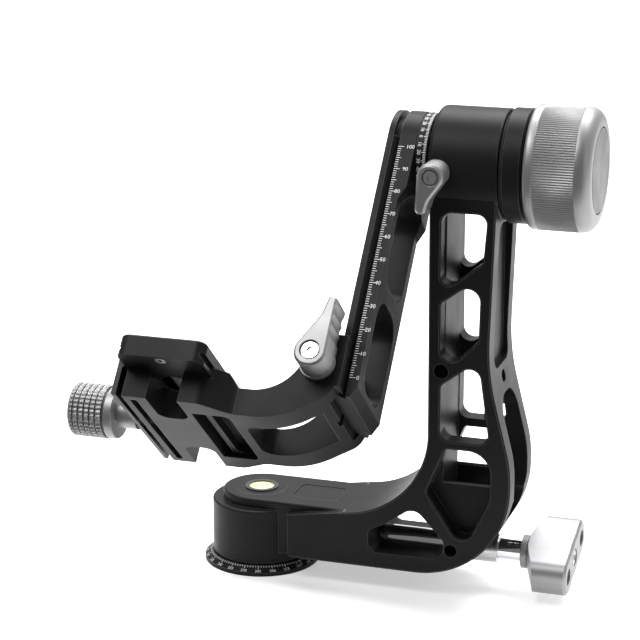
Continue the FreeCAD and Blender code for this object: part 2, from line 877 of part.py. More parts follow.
def cut_bores(body):
    """Cut the turned bores of the hub, the pan lock and the tilt housing."""
    hub_low = s.dial_height + s.joint_gap
    recess = s.dial_height + s.running_gap + s.washer_thickness
    bore = s.spindle_radius + s.running_gap
    ledge = s.spindle_neck_height + s.joint_gap
    hub = new_sketch(body, "XZ_Plane")
    draw_outline(hub, [
        (0, 0, 0), (s.washer_outer_radius, 0, 0), (s.washer_outer_radius, recess, 0),
        (s.washer_inner_radius, recess, 0), (s.washer_inner_radius, hub_low, 0), (bore, hub_low, 0),
        (bore, ledge, 0), (s.cavity_radius, ledge, 0), (s.cavity_radius, s.frame_top, 0),
        (0, s.frame_top, 0)])
    revolve(body, hub, "V_Axis", cut=True)

    shoe_bore = s.shoe_radius + s.running_gap
    rod_bore = s.rod_radius + s.free_gap
    shoe_end = s.rod_start - s.free_gap
    rod = new_sketch(body, "XZ_Plane", rise=s.rod_height)
    draw_outline(rod, [
        (s.spindle_neck_radius, 0, 0), (s.rod_end, 0, 0), (s.rod_end, s.rod_bush_radius, 0),
        (s.rod_bush_end - s.rod_bush_length, s.rod_bush_radius, 0),
        (s.rod_bush_end - s.rod_bush_length, rod_bore, 0), (shoe_end, rod_bore, 0),
        (shoe_end, shoe_bore, 0), (s.spindle_neck_radius, shoe_bore, 0)])
    revolve(body, rod, "H_Axis", cut=True)

    drum_bore = s.drum_radius + s.free_gap
    tilt = new_sketch(body, "XZ_Plane", rise=s.tilt_height)
    draw_outline(tilt, [
        (s.housing_left, 0, 0), (s.housing_right, 0, 0), (s.housing_right, s.bearing_radius, 0),
        (s.bearing_left, s.bearing_radius, 0), (s.bearing_left, drum_bore, 0),
        (s.housing_left, drum_bore, 0)])
    revolve(body, tilt, "H_Axis", cut=True)

    plug_back = s.drum_radius + s.free_gap + s.plug_length + s.free_gap
    bore_across(body, s.tilt_lever_x, s.tilt_height, s.stud_radius + s.free_gap, s.tilt_lever_back,
                s.tilt_lever_back - plug_back)
    bore_across(body, s.tilt_lever_x, s.tilt_height, s.plug_radius + s.running_gap, plug_back,
                plug_back - s.drum_radius + s.free_gap)


def set_screw(radius, length, key):
    """A headless screw along +Z, its socket at the top."""
    screw = Part.makeCylinder(radius, length)
    corners = [Vector(key * math.cos(math.pi * k / 3), key * math.sin(math.pi * k / 3), length / 2)
               for k in range(7)]
    socket = Part.Face(Part.makePolygon(corners)).extrude(Vector(0, 0, length))
    return screw.cut(socket)


def make_frame_screw():
    """The set screw in the back of the upright."""
    screw = set_screw(s.set_screw_radius.value, s.set_screw_length.value, s.set_screw_key.value)
    start = s.arm_top_right.value - s.set_screw_depth.value
    screw.Placement = Placement(Vector(start, 0, s.set_screw_height.value), Rotation(Vector(0, 1, 0), 90))
    piece = new_piece("Part::Feature", "frame_screw")
    piece.Shape = screw


def make_hub_fittings():
    washer_low = s.dial_height + s.running_gap
    ring("pan_thrust_washer", "Z", washer_low, washer_low + s.washer_thickness, s.washer_inner_radius,
         s.washer_outer_radius)
    ring("tripod_bush", "Z", 0, s.socket_depth, s.socket_radius, s.bush_radius)


# Pan lock

def put_on_rod_axis(thing):
    return put(thing, z=s.rod_height)


def make_pan_lock():
    bush_start = s.rod_bush_end - s.rod_bush_length
    step = bush_start - s.free_gap
    neck = s.rod_neck_radius
    rod = turned("pan_lock_rod", "X", [
        (s.rod_start, 0, 0), (s.rod_start, s.rod_radius, 0), (step, s.rod_radius, 0), (step, neck, 0),
        (s.rod_end, neck, 0), (s.rod_end, s.wing_screw_radius, 0),
        (s.rod_end - s.wing_screw_grip, s.wing_screw_radius, 0), (s.rod_end - s.wing_screw_grip, 0, 0)])
    bush = ring("rod_bush", "X", bush_start, s.rod_bush_end, neck + s.running_gap, s.rod_bush_radius)
    collar = ring("pan_knob_collar", "X", s.rod_collar_start, s.rod_collar_start + s.rod_collar_length,
                  neck, s.rod_collar_radius)
    start = s.spindle_radius + s.free_gap
    shoe = ring("pan_brake_shoe", "X", start, start + s.shoe_length, 0, s.shoe_radius)
    for thing in (rod, bush, collar, shoe):
        put_on_rod_axis(thing)
    make_wing_knob()


def make_wing_knob():
    """Flat wing knob with a conical neck, pockets in its end face and a screw."""
    body = new_body("pan_lock_knob")
    half, thick = s.wing_length / 2, s.wing_thickness / 2
    waist, offset = s.wing_waist, s.wing_waist_offset
    outline = new_sketch(body, "YZ_Plane", s.wing_start)
    draw_outline(outline, [
        (-half, -thick, s.wing_round), (-offset, -waist, s.wing_round), (0, -thick, s.wing_round),
        (offset, -waist, s.wing_round), (half, -thick, s.wing_round), (half, thick, s.wing_round),
        (offset, waist, s.wing_round), (0, thick, s.wing_round), (-offset, waist, s.wing_round),
        (-half, thick, s.wing_round)])
    block = pad(body, outline, s.wing_end - s.wing_start)
    end = s.wing_end.value
    chamfer(body, block, lambda point: near(point.x, end), s.wing_bevel)

    flare = new_sketch(body, "XZ_Plane")
    draw_outline(flare, [
        (s.wing_start, s.wing_neck, 0), (s.wing_start + s.wing_flare, half, 0),
        (s.wing_start + s.wing_flare, half * 1.2, 0), (s.wing_start, half * 1.2, 0)])
    revolve(body, flare, "H_Axis", cut=True)

    bore = new_sketch(body, "YZ_Plane", s.wing_start)
    draw_circle(bore, 0, 0, s.rod_neck_radius)
    pocket(body, bore, s.rod_end - s.wing_start, reverse=True)
    hole = new_sketch(body, "YZ_Plane", s.wing_end)
    draw_circle(hole, 0, 0, s.wing_screw_radius)
    pocket(body, hole, s.wing_end - s.rod_end)
    sink = new_sketch(body, "YZ_Plane", s.wing_end)
    draw_circle(sink, 0, 0, s.wing_screw_head + s.screw_ring)
    pocket(body, sink, s.wing_screw_sink)
    for turn in (1, -1):
        sketch = new_sketch(body, "YZ_Plane", s.wing_end)
        draw_circle(sketch, s.wing_pocket_offset * turn, 0, s.wing_pocket_radius)
        pocket(body, sketch, s.wing_pocket_depth)

    head = s.wing_end - s.wing_screw_sink
    screw = turned("pan_knob_screw", "X", [
        (s.rod_end - s.wing_screw_grip, 0, 0), (s.rod_end - s.wing_screw_grip, s.wing_screw_radius, 0),
        (head, s.wing_screw_radius, 0), (head, s.wing_screw_head, 0),
        (head + s.screw_head_height, s.wing_screw_head, 0), (head + s.screw_head_height, 0, 0)])
    socket = new_sketch(screw, "YZ_Plane", head + s.screw_head_height)
    draw_hexagon(socket, s.screw_key)
    pocket(screw, socket, s.screw_key_depth)
    for thing in (body, screw):
        put(thing, z=s.rod_height, axis=X_AXIS, angle=s.wing_turn)


# Tilt shaft and drag

def make_tilt_shaft():
    screw_end = s.swing_left + s.arm_screw_sink + s.arm_screw_head_height + s.arm_screw_length
    screw_bore = s.arm_screw_radius
    shaft = turned("tilt_shaft", "X", [
        (s.swing_boss_right, screw_bore, 0), (s.swing_boss_right, s.shaft_radius, 0),
        (s.scale_ring_end, s.shaft_radius, 0), (s.scale_ring_end, s.drum_radius, 0),
        (s.drum_end, s.drum_radius, 0), (s.drum_end, s.shaft_radius, 0), (s.shaft_end, s.shaft_radius, 0),
        (s.shaft_end, 0, 0), (screw_end, 0, 0), (screw_end, screw_bore, 0)])
    scale = ring("tilt_scale_ring", "X", s.swing_boss_right, s.scale_ring_end, s.shaft_radius,
                 s.scale_ring_radius, s.ring_bevel)
    put_in_cradle(shaft)
    put_in_cradle(scale)

    inner_edge = s.shaft_radius + s.tilt_race_thickness
    outer_edge = s.bearing_radius - s.tilt_race_thickness
    orbit, ball = (inner_edge + outer_edge) / 2, (outer_edge - inner_edge) / 2 - s.running_gap
    for name, start in (("left", s.bearing_left), ("right", s.bearing_right)):
        end = start + s.bearing_width
        put_in_cradle(ring(f"tilt_bearing_{name}_inner_race", "X", start, end, s.shaft_radius, inner_edge))
        put_on_tilt_axis(ring(f"tilt_bearing_{name}_outer_race", "X", start, end, outer_edge,
                              s.bearing_radius))
        balls = make_balls(f"tilt_bearing_{name}_balls", "X", orbit, ball, s.tilt_ball_count)
        put(balls, x=start + s.bearing_width / 2, z=s.tilt_height)

    head = s.swing_left + s.arm_screw_sink
    screw = turned("arm_screw", "X", [
        (head, 0, 0), (head, s.arm_screw_head, 0), (head + s.arm_screw_head_height, s.arm_screw_head, 0),
        (head + s.arm_screw_head_height, screw_bore, 0), (screw_end, screw_bore, 0), (screw_end, 0, 0)])
    socket = new_sketch(screw, "YZ_Plane", head)
    draw_hexagon(socket, s.arm_screw_key)
    pocket(screw, socket, s.arm_screw_key_depth, reverse=True)
    put_in_cradle(screw)


def make_drag():
    bore = s.shaft_radius + s.running_gap
    disc_start = s.housing_right + s.half_gap
    friction = ring("friction_disc", "X", disc_start, disc_start + s.friction_thickness, s.friction_inner,
                    s.friction_outer)
    collar = ring("drag_collar", "X", s.collar_start, s.collar_end, bore, s.collar_radius, s.collar_edge)
    washer = ring("drag_washer", "X", s.knob_start - s.drag_washer_thickness, s.knob_start, bore,
                  s.drag_washer_radius)
    cap_floor = s.knob_end - s.knob_cap_depth
    shaft_room = s.shaft_end + s.free_gap
    knob = turned("tilt_drag_knob", "X", [
        (s.knob_start, bore, 0), (s.knob_start, s.knob_radius, s.knob_lip),
        (s.knob_end, s.knob_radius, s.knob_shoulder), (s.knob_end, s.knob_cap_radius, 0),
        (cap_floor, s.knob_cap_radius, 0), (cap_floor, 0, 0), (shaft_room, 0, 0), (shaft_room, bore, 0)])
    cap = turned("knob_end_cap", "X", [
        (cap_floor, 0, 0), (cap_floor, s.knob_cap_radius, 0),
        (s.knob_end - s.knob_cap_bevel, s.knob_cap_radius, 0),
        (s.knob_end, s.knob_cap_radius - s.knob_cap_bevel, 0), (s.knob_end, 0, 0)])
    for thing in (friction, collar, washer, knob, cap):
        put_on_tilt_axis(thing)


# Levers, drawn with the handle up and the front face at y = 0

def make_lever(name, head, reach, tip, lean, thickness, stud_radius, recess, flange=None):
    """A lock lever with its screw and stud; returns the three pieces."""
    body = new_body(f"{name}_lever")
    outline = new_sketch(body, "XZ_Plane")
    top = reach + tip
    left = head + lean - tip * 2
    corner = head * 0.94
    draw_outline(outline, [
        (-head, -head, corner), (head, -head, corner), (head + lean, top, tip * 0.9),
        (left, top, tip * 0.8), (left - head * 0.26, top * 0.66, head * 2), (-head, head * 0.29, corner)])
    block = pad(body, outline, thickness, reverse=True)
    chamfer(body, block, lambda point: near(point.y, 0), s.lever_bevel)
    if flange is not None:
        disc = new_sketch(body, "XZ_Plane", -thickness)
        draw_circle(disc, 0, 0, flange)
        pad(body, disc, s.flange_thickness)
    sink = new_sketch(body, "XZ_Plane")
    draw_circle(sink, 0, 0, recess)
    pocket(body, sink, s.lever_screw_sink)
    hole = new_sketch(body, "XZ_Plane")
    draw_circle(hole, 0, 0, s.lever_screw_radius)
    pocket(body, hole, thickness)
    seat = new_sketch(body, "XZ_Plane", -thickness)
    draw_circle(seat, 0, 0, stud_radius)
    pocket(body, seat, s.stud_grip, reverse=True)

    screw_end = thickness - s.stud_grip + s.lever_screw_grip
    head_start = s.lever_screw_sink - s.lever_screw_head_height
    head_radius = recess - s.screw_ring
    screw = turned(f"{name}_lever_screw", "Y", [
        (head_start, 0, 0), (head_start, head_radius, 0), (s.lever_screw_sink, head_radius, 0),
        (s.lever_screw_sink, s.lever_screw_radius, 0), (screw_end, s.lever_screw_radius, 0),
        (screw_end, 0, 0)])
    socket = new_sketch(screw, "XZ_Plane", -head_start)
    draw_hexagon(socket, s.screw_key)
    pocket(screw, socket, s.screw_key_depth)
    return body, screw, screw_end


def make_stud(name, thickness, screw_end, radius, end):
    """The threaded stud behind a lever, measured from the lever's front face."""
    start = thickness - s.stud_grip
    return turned(f"{name}_lever_stud", "Y", [
        (start, s.lever_screw_radius, 0), (start, radius, 0), (end, radius, 0), (end, 0, 0),
        (screw_end, 0, 0), (screw_end, s.lever_screw_radius, 0)])


def make_tilt_lock():
    thickness = s.tilt_lever_front - s.tilt_lever_back
    body, screw, screw_end = make_lever(
        "tilt_lock", s.tilt_lever_head, s.tilt_lever_reach, s.tilt_lever_tip, s.tilt_lever_lean,
        thickness, s.stud_radius, s.tilt_lever_recess)
    plug_start = s.drum_radius + s.free_gap
    stud_end = s.tilt_lever_front - plug_start - s.plug_length - s.free_gap
    stud = make_stud("tilt_lock", thickness, screw_end, s.stud_radius, stud_end)
    for thing in (body, screw, stud):
        put(thing, x=s.tilt_lever_x, y=-s.tilt_lever_front, z=s.tilt_height, axis=Y_AXIS,
            angle=s.tilt_lever_turn)
    plug = turned("tilt_lock_plug", "Y", [
        (-plug_start - s.plug_length, 0, 0), (-plug_start - s.plug_length, s.plug_radius, 0),
        (-plug_start, s.plug_radius, 0), (-plug_start, 0, 0)])
    put(plug, x=s.tilt_lever_x, z=s.tilt_height)


def make_cradle_lock():
    back = s.bracket_half_width + s.free_gap
    thickness = s.cradle_lever_front - back
    body, screw, screw_end = make_lever(
        "cradle_lock", s.cradle_lever_head, s.cradle_lever_reach, s.cradle_lever_tip,
        s.cradle_lever_lean, thickness, s.cradle_stud_radius, s.cradle_lever_recess,
        s.cradle_lever_flange)
    scallops = new_sketch(body, "XZ_Plane")
    side = s.cradle_lever_head + s.scallop_radius - s.scallop_depth
    for step in range(3):
        draw_circle(scallops, side, s.scallop_height + s.scallop_pitch * step, s.scallop_radius)
    pocket(body, scallops, thickness)
    stud_end = s.cradle_lever_front - s.gib_end - s.free_gap
    stud = make_stud("cradle_lock", thickness, screw_end, s.cradle_stud_radius, stud_end)
    for thing in (body, screw, stud):
        put_on_cradle(thing, x=s.cradle_lever_x, y=-s.cradle_lever_front, z=-s.cradle_lever_depth)
    make_gib()


def make_gib():
    """Sliding block that presses the near edge of the rail."""
    gib = new_body("rail_gib")
    sketch = new_sketch(gib, "XY_Plane", -s.cradle_lever_depth - s.gib_half_height)
    inner = s.swing_half_width + s.groove_gap
    edge_right = s.swing_left + s.rail_edge + s.groove_gap
    slope = s.swing_half_width - s.rail_neck
    reach = inner - (s.hook_right - edge_right) * slope / s.rail_bevel
    draw_outline(sketch, [
        (s.gib_left, -s.gib_end, 0), (s.hook_right, -s.gib_end, 0), (s.hook_right, -reach, 0),
        (edge_right, -inner, 0), (s.gib_left, -inner, 0)])
    pad(gib, sketch, s.gib_half_height * 2)
    put_in_cradle(gib)


# Swing arm

def make_swing_arm():
    body = new_body("swing_arm")
    half = s.swing_half_width
    for left, right, low in ((s.swing_left, s.swing_left + s.rail_edge, s.swing_bottom),
                             (s.swing_body_left, s.swing_body_right, s.swing_bottom)):
        sketch = new_sketch(body, "YZ_Plane", left)
        draw_outline(sketch, [(-half, -low, 0), (half, -low, 0), (half, half, s.swing_round),
                              (-half, half, s.swing_round)])
        pad(body, sketch, right - left)
        if left.value == s.swing_left.value:
            add_rail_neck(body)
    boss = new_sketch(body, "XZ_Plane")
    low = -s.swing_boss_low - s.swing_boss_slope
    draw_outline(boss, [
        (s.swing_body_left, low, 0), (s.swing_body_right, low, 0), (s.swing_boss_right, -s.swing_boss_low, 0),
        (s.swing_boss_right, 0, 0), (s.swing_body_left, 0, 0)])
    pad(body, boss, half * 2, both_ways=True)
    disc = new_sketch(body, "YZ_Plane", s.swing_body_left)
    draw_circle(disc, 0, 0, half)
    pad(body, disc, s.swing_boss_right - s.swing_body_left)

    inset = new_sketch(body, "XZ_Plane")
    right, bottom = s.swing_body_right, -s.swing_bottom
    draw_outline(inset, [
        (right - s.swing_end_inset, bottom, 0), (right, bottom, 0), (right, bottom + s.swing_end_bevel, 0)])
    pocket(body, inset, half * 2, both_ways=True)
    for high, low in ((s.swing_window_high_top, s.swing_window_high_bottom),
                      (s.swing_window_low_top, s.swing_window_low_bottom)):
        sketch = new_sketch(body, "YZ_Plane", s.swing_left)
        draw_box(sketch, -s.swing_window_half, s.swing_window_half, -low, -high, s.swing_window_corner)
        pocket(body, sketch, s.swing_boss_right - s.swing_left, reverse=True)
    sink = new_sketch(body, "YZ_Plane", s.swing_left)
    draw_circle(sink, 0, 0, s.arm_screw_head)
    pocket(body, sink, s.arm_screw_sink + s.arm_screw_head_height, reverse=True)
    hole = new_sketch(body, "YZ_Plane", s.swing_left)
    draw_circle(hole, 0, 0, s.arm_screw_radius)
    pocket(body, hole, s.swing_boss_right - s.swing_left, reverse=True)
    stop = new_sketch(body, "YZ_Plane", s.swing_left)
    draw_circle(stop, 0, s.stop_screw_height - s.swing_bottom, s.stop_screw_radius)
    pocket(body, stop, s.stop_screw_sink, reverse=True)
    put_in_cradle(body)

    screw = ring("arm_stop_screw", "X", s.swing_left - s.stop_screw_proud, s.swing_left + s.stop_screw_sink,
                 0, s.stop_screw_radius)
    put_on_cradle(screw, z=s.stop_screw_height - s.swing_bottom)


def add_rail_neck(body):
    """The bevelled neck between the rail's flange and the arm."""
    half = s.swing_half_width
    start = s.swing_left + s.rail_edge
    sketch = new_sketch(body, "XY_Plane", -s.swing_bottom)
    draw_outline(sketch, [
        (start, -half, 0), (start + s.rail_bevel, -s.rail_neck, 0), (start + s.rail_bevel, s.rail_neck, 0),
        (start, half, 0)])
    pad(body, sketch, s.swing_bottom)
    disc = new_sketch(body, "YZ_Plane", start)
    draw_circle(disc, 0, 0, s.rail_neck)
    pad(body, disc, s.rail_bevel)


# Cradle bracket

def make_bracket():
    body = new_body("cradle_bracket")
    wide = new_sketch(body, "XZ_Plane")
    wall = s.plate_right + s.groove_gap
    bevel_low = s.plate_bottom - s.plate_flange
    lip_inner = s.plate_right - s.plate_bevel + s.groove_gap + s.running_gap
    lip_rise = wall - lip_inner
    lip_top = s.plate_bottom - s.plate_flange - s.plate_bevel - s.plate_neck_height + s.groove_gap
    draw_outline(wide, [
        (-s.clamp_left, -s.bracket_bottom, 0), (s.floor_start, -s.bracket_bottom, 0),
        (s.floor_start, -s.floor_depth, 0), (s.lip_end, -lip_top, 0), (lip_inner, -lip_top, 0),
        (lip_inner, -bevel_low + lip_rise, 0), (wall, -bevel_low, 0), (wall, -s.shelf_depth, 0),
        (-s.clamp_left, -s.shelf_depth, 0)])
    pad(body, wide, s.clamp_half_width * 2, both_ways=True)
    cut_clamp_plan(body)

    curve = new_sketch(body, "XZ_Plane")
    draw_outline(curve, [
        (s.lip_end, -s.bracket_bottom, 0), (s.outer_slope_x, -s.bracket_bottom, s.outer_radius),
        (s.outer_wall, -s.outer_slope_depth, s.heel_radius), (s.outer_wall, -s.bracket_top, 0),
        (s.inner_wall, -s.bracket_top, 0), (s.inner_wall, -s.floor_depth, s.inner_radius),
        (s.lip_end, -s.floor_depth, 0)])
    pad(body, curve, s.bracket_half_width * 2, both_ways=True)
    hooks = new_sketch(body, "XZ_Plane")
    draw_box(hooks, s.swing_left, s.hook_right, -s.hook_low, -s.bracket_top)
    pad(body, hooks, s.bracket_half_width * 2, both_ways=True)
    cut_rail_channel(body)
    cut_bracket_openings(body)
    cut_clamp_holes(body)
    put_in_cradle(body)


def cut_clamp_plan(body):
    """Narrow the clamp towards the curved arm, seen from above."""
    far = s.floor_start + s.clamp_half_width
    for turn in (1, -1):
        sketch = new_sketch(body, "XY_Plane", -s.bracket_bottom)
        side = s.clamp_half_width * turn
        outside = (s.clamp_half_width + s.side_corner) * turn
        corners = [
            (s.side_corner_start, side, 0), (s.clamp_taper_start, side, s.side_corner),
            (s.clamp_taper_end, s.bracket_half_width * turn, s.plan_corner),
            (far, s.bracket_half_width * turn, 0), (far, outside, 0), (s.side_corner_start, outside, 0)]
        draw_outline(sketch, corners)
        pocket(body, sketch, s.bracket_bottom - s.bracket_top, reverse=True)


def cut_rail_channel(body):
    """Cut the dovetail channel for the rail, the stop's groove and the gib's pocket."""
    inner = s.swing_half_width + s.groove_gap
    edge_right = s.swing_left + s.rail_edge + s.groove_gap
    left = s.swing_left - s.groove_gap
    slope = (s.swing_half_width - s.rail_neck) / s.rail_bevel
    over = s.swing_body_left
    reach = inner - (over - edge_right) * slope
    channel = new_sketch(body, "XY_Plane", -s.bracket_bottom)
    draw_outline(channel, [
        (left, -inner, 0), (edge_right, -inner, 0), (over, -reach, 0), (over, reach, 0),
        (edge_right, inner, 0), (left, inner, 0)])
    pocket(body, channel, s.bracket_bottom - s.bracket_top, reverse=True)

    groove = new_sketch(body, "YZ_Plane", s.swing_left)
    half = s.stop_screw_radius + s.free_gap
    top = s.stop_screw_height - s.swing_bottom + half + s.stop_travel
    draw_box(groove, -half, half, -s.bracket_bottom, top)
    pocket(body, groove, s.stop_screw_proud + s.free_gap)

    room = s.running_gap
    gib = new_sketch(body, "XY_Plane", -s.cradle_lever_depth - s.gib_half_height - room)
    draw_box(gib, s.gib_left - room, s.swing_body_left, -s.gib_end - s.free_gap,
             -inner + s.rail_bevel / 2 + s.free_gap)
    pocket(body, gib, s.gib_half_height * 2 + room * 2, reverse=True)
    back = s.gib_end + s.free_gap
    bore_across(body, s.cradle_lever_x, -s.cradle_lever_depth, s.cradle_stud_radius + s.free_gap,
                s.bracket_half_width, s.bracket_half_width - back)


def cut_bracket_openings(body):
    """Cut the long slot, the side bites and the hollows underneath."""
    slot = new_sketch(body, "XY_Plane", -s.bracket_bottom)
    draw_box(slot, s.bracket_slot_start, s.bracket_slot_end, -s.bracket_slot_half, s.bracket_slot_half,
             s.bracket_slot_corner)
    pocket(body, slot, s.bracket_bottom - s.bracket_top, reverse=True)
    rise = new_sketch(body, "XZ_Plane")
    low = -s.bracket_bottom - s.free_gap
    draw_outline(rise, [
        (s.slot_rise_start, low, 0), (s.slot_rise_end, low, 0), (s.slot_rise_end, -s.slot_rise_depth, 0),
        (s.inner_wall, -s.slot_rise_top, 0), (s.slot_rise_start, -s.slot_rise_top, 0)])
    pocket(body, rise, s.bracket_slot_half * 2, both_ways=True)
    for turn in (1, -1):
        bite = new_sketch(body, "XY_Plane", -s.bracket_bottom)
        near_end = (s.clamp_half_width - s.bite_depth) * turn
        far_end = (s.clamp_half_width + s.bite_depth) * turn
        corners = [(-s.bite_left, near_end, s.bite_corner), (s.bite_right, near_end, s.bite_corner),
                   (s.bite_right, far_end, 0), (-s.bite_left, far_end, 0)]
        draw_outline(bite, corners if turn > 0 else corners[::-1])
        pocket(body, bite, s.bracket_bottom - s.shelf_depth, reverse=True)
    spans = ((s.pocket_left, s.pocket_right, s.rib_drop, s.pocket_corner),
             (s.pocket_left, s.rib_left, s.pocket_depth, 0),
             (s.rib_right, s.pocket_right, s.pocket_depth, s.pocket_corner))
    for left, right, depth, corner in spans:
        hollow = new_sketch(body, "XY_Plane", -s.bracket_bottom)
        draw_box(hollow, left, right, -s.pocket_half, s.pocket_half, corner)
        pocket(body, hollow, depth, reverse=True)
    slit = new_sketch(body, "XY_Plane", -s.bracket_bottom)
    draw_box(slit, -s.slit_left, -s.slit_right, -s.slit_half, s.slit_half)
    pocket(body, slit, s.slit_depth, reverse=True)


def cut_clamp_holes(body):
    """Bore the block for the clamp screw and the jaw's guide pins."""
    for along, radius, end in ((0, s.clamp_screw_radius, s.clamp_screw_end),
                               (s.guide_pin_spacing, s.guide_pin_radius, None),
                               (-s.guide_pin_spacing, s.guide_pin_radius, None)):
        hole = new_sketch(body, "YZ_Plane", -s.clamp_left)
        draw_circle(hole, along, -s.clamp_screw_depth, radius + s.running_gap)
        if end is None:
            length = s.guide_pin_length - s.jaw_outer + s.clamp_left + s.free_gap
        else:
            length = s.clamp_left + end + s.free_gap
        pocket(body, hole, length, reverse=True)


# Clamp screw, knob and jaw

def make_clamp():
    jaw = new_body("clamp_jaw")
    bevel_low = s.plate_bottom - s.plate_flange
    lip_inner = s.plate_left - s.plate_bevel + s.groove_gap + s.running_gap
    lip_rise = s.jaw_inner - lip_inner
    start = s.jaw_inner - s.plate_left - s.groove_gap
    lip_top = bevel_low - s.plate_bevel - s.plate_neck_height + s.groove_gap
    outline = new_sketch(jaw, "XZ_Plane")
    draw_outline(outline, [
        (-s.jaw_outer, -s.jaw_bottom, 0), (-s.jaw_inner, -s.jaw_bottom, 0),
        (-s.jaw_inner, -bevel_low - start, 0), (-lip_inner, -bevel_low - start + lip_rise, 0),
        (-lip_inner, -lip_top, 0), (-s.jaw_outer, -lip_top, 0)])
    block = pad(jaw, outline, s.clamp_half_width * 2, both_ways=True)
    half = s.clamp_half_width.value
    left = -s.jaw_outer.value
    chamfer(jaw, block, lambda point: near(abs(point.y), half) and near(point.x, left), s.jaw_bevel)
    for along, radius in ((0, s.clamp_screw_radius + s.free_gap), (s.guide_pin_spacing, s.guide_pin_radius),
                          (-s.guide_pin_spacing, s.guide_pin_radius)):
        hole = new_sketch(jaw, "YZ_Plane", -s.jaw_outer)
        draw_circle(hole, along, -s.clamp_screw_depth, radius)
        pocket(jaw, hole, s.jaw_outer - s.jaw_inner, reverse=True)
    put_in_cradle(jaw)

    pins = []
    radius, length = s.guide_pin_radius.value, s.guide_pin_length.value
    for turn in (1, -1):
        start_point = Vector(-s.jaw_outer.value, turn * s.guide_pin_spacing.value, 0)
        pins.append(Part.makeCylinder(radius, length, start_point, X_AXIS))
    group = new_piece("Part::Feature", "clamp_guide_pins")
    group.Shape = Part.makeCompound(pins)
    put_on_cradle(group, z=-s.clamp_screw_depth)
    make_clamp_knob()


def make_clamp_knob():
    radius, depth = s.clamp_knob_radius, s.clamp_groove_depth
    bands = s.clamp_knob_outer - s.clamp_knob_inner - s.clamp_flange_length
    pitch = bands / s.clamp_knob_bands
    half_width = s.clamp_groove_width / 2
    corners = [(-s.clamp_knob_outer, 0, 0), (-s.clamp_knob_outer, radius, s.clamp_knob_round)]
    for index in range(1, int(s.clamp_knob_bands.value)):
        middle = pitch * index - s.clamp_knob_outer
        corners += [(middle - half_width, radius, 0), (middle - half_width, radius - depth, 0),
                    (middle + half_width, radius - depth, 0), (middle + half_width, radius, 0)]
    flange_start = -s.clamp_knob_inner - s.clamp_flange_length
    flange_radius = radius - s.clamp_flange_inset
    socket_end = -s.clamp_knob_outer + s.clamp_socket_wall
    corners += [(flange_start, radius, 0), (flange_start, radius - depth * 2, 0),
                (flange_start + s.clamp_groove_width, radius - depth * 2, 0),
                (flange_start + s.clamp_groove_width, flange_radius, 0),
                (-s.clamp_knob_inner, flange_radius, 0), (-s.clamp_knob_inner, s.clamp_sleeve_radius, 0),
                (-s.jaw_outer - s.free_gap, s.clamp_sleeve_radius, 0),
                (-s.jaw_outer - s.free_gap, s.clamp_screw_radius, 0),
                (socket_end, s.clamp_screw_radius, 0), (socket_end, 0, 0)]
    knob = turned("clamp_knob", "X", corners)
    screw = ring("clamp_screw", "X", socket_end, s.clamp_screw_end, 0, s.clamp_screw_radius)
    for thing in (knob, screw):
        put_on_cradle(thing, z=-s.clamp_screw_depth)


# Camera plate

def make_plate():
    body = new_body("quick_release_plate")
    left, right = -s.plate_left, s.plate_right
    near_end, far_end = -s.plate_near, s.plate_far
    foot = s.plate_flange + s.plate_bevel
    low, high = -s.plate_bottom, -s.plate_top
    neck_left, neck_right = left + s.plate_bevel, right - s.plate_bevel
    cover = low + foot + s.plate_neck_height
    side = new_sketch(body, "XZ_Plane", -far_end)
    draw_outline(side, [
        (left, low, 0), (right, low, 0), (right, low + s.plate_flange, 0), (neck_right, low + foot, 0),
        (neck_right, cover, 0), (right, cover, 0), (right, high, 0), (left, high, 0), (left, cover, 0),
        (neck_left, cover, 0), (neck_left, low + foot, 0), (left, low + s.plate_flange, 0)])
    pad(body, side, far_end - near_end)
    plan = new_sketch(body, "XY_Plane", low)
    rim = s.plate_corner
    draw_box(plan, left - rim, right + rim, near_end - rim, far_end + rim)
    draw_box(plan, left, right, near_end, far_end, rim)
    block = pocket(body, plan, high - low, reverse=True)
    level = high.value
    chamfer(body, block, lambda point: near(point.z, level), s.edge_break)

    middle = (s.plate_right - s.plate_left) / 2
    for half, depth, offset in ((s.plate_slot_half, s.plate_bottom - s.plate_top, 0),
                                (s.plate_slot_half + s.plate_slot_step, s.plate_slot_ledge,
                                 s.plate_slot_step)):
        slot = new_sketch(body, "XY_Plane", -s.plate_bottom)
        draw_box(slot, middle - half, middle + half, -s.plate_slot_near - offset, s.plate_slot_far + offset,
                 half * 0.98)
        pocket(body, slot, depth, reverse=True)
    pad_low = -s.plate_top + s.pad_proud - s.pad_thickness
    pad_middle = (s.plate_far - s.plate_near) / 2
    for start in (left + s.pad_inset, right - s.pad_inset - s.pad_width):
        seat = new_sketch(body, "XY_Plane", pad_low)
        draw_box(seat, start, start + s.pad_width, pad_middle - s.pad_length / 2,
                 pad_middle + s.pad_length / 2)
        pocket(body, seat, s.pad_thickness, reverse=True)
    for along in (near_end + s.stop_pin_inset, far_end - s.stop_pin_inset):
        hole = new_sketch(body, "XY_Plane", low)
        draw_circle(hole, middle, along, s.stop_pin_radius)
        pocket(body, hole, s.stop_pin_height, reverse=True)
    put_in_cradle(body)
    make_plate_fittings(middle, pad_low, pad_middle)


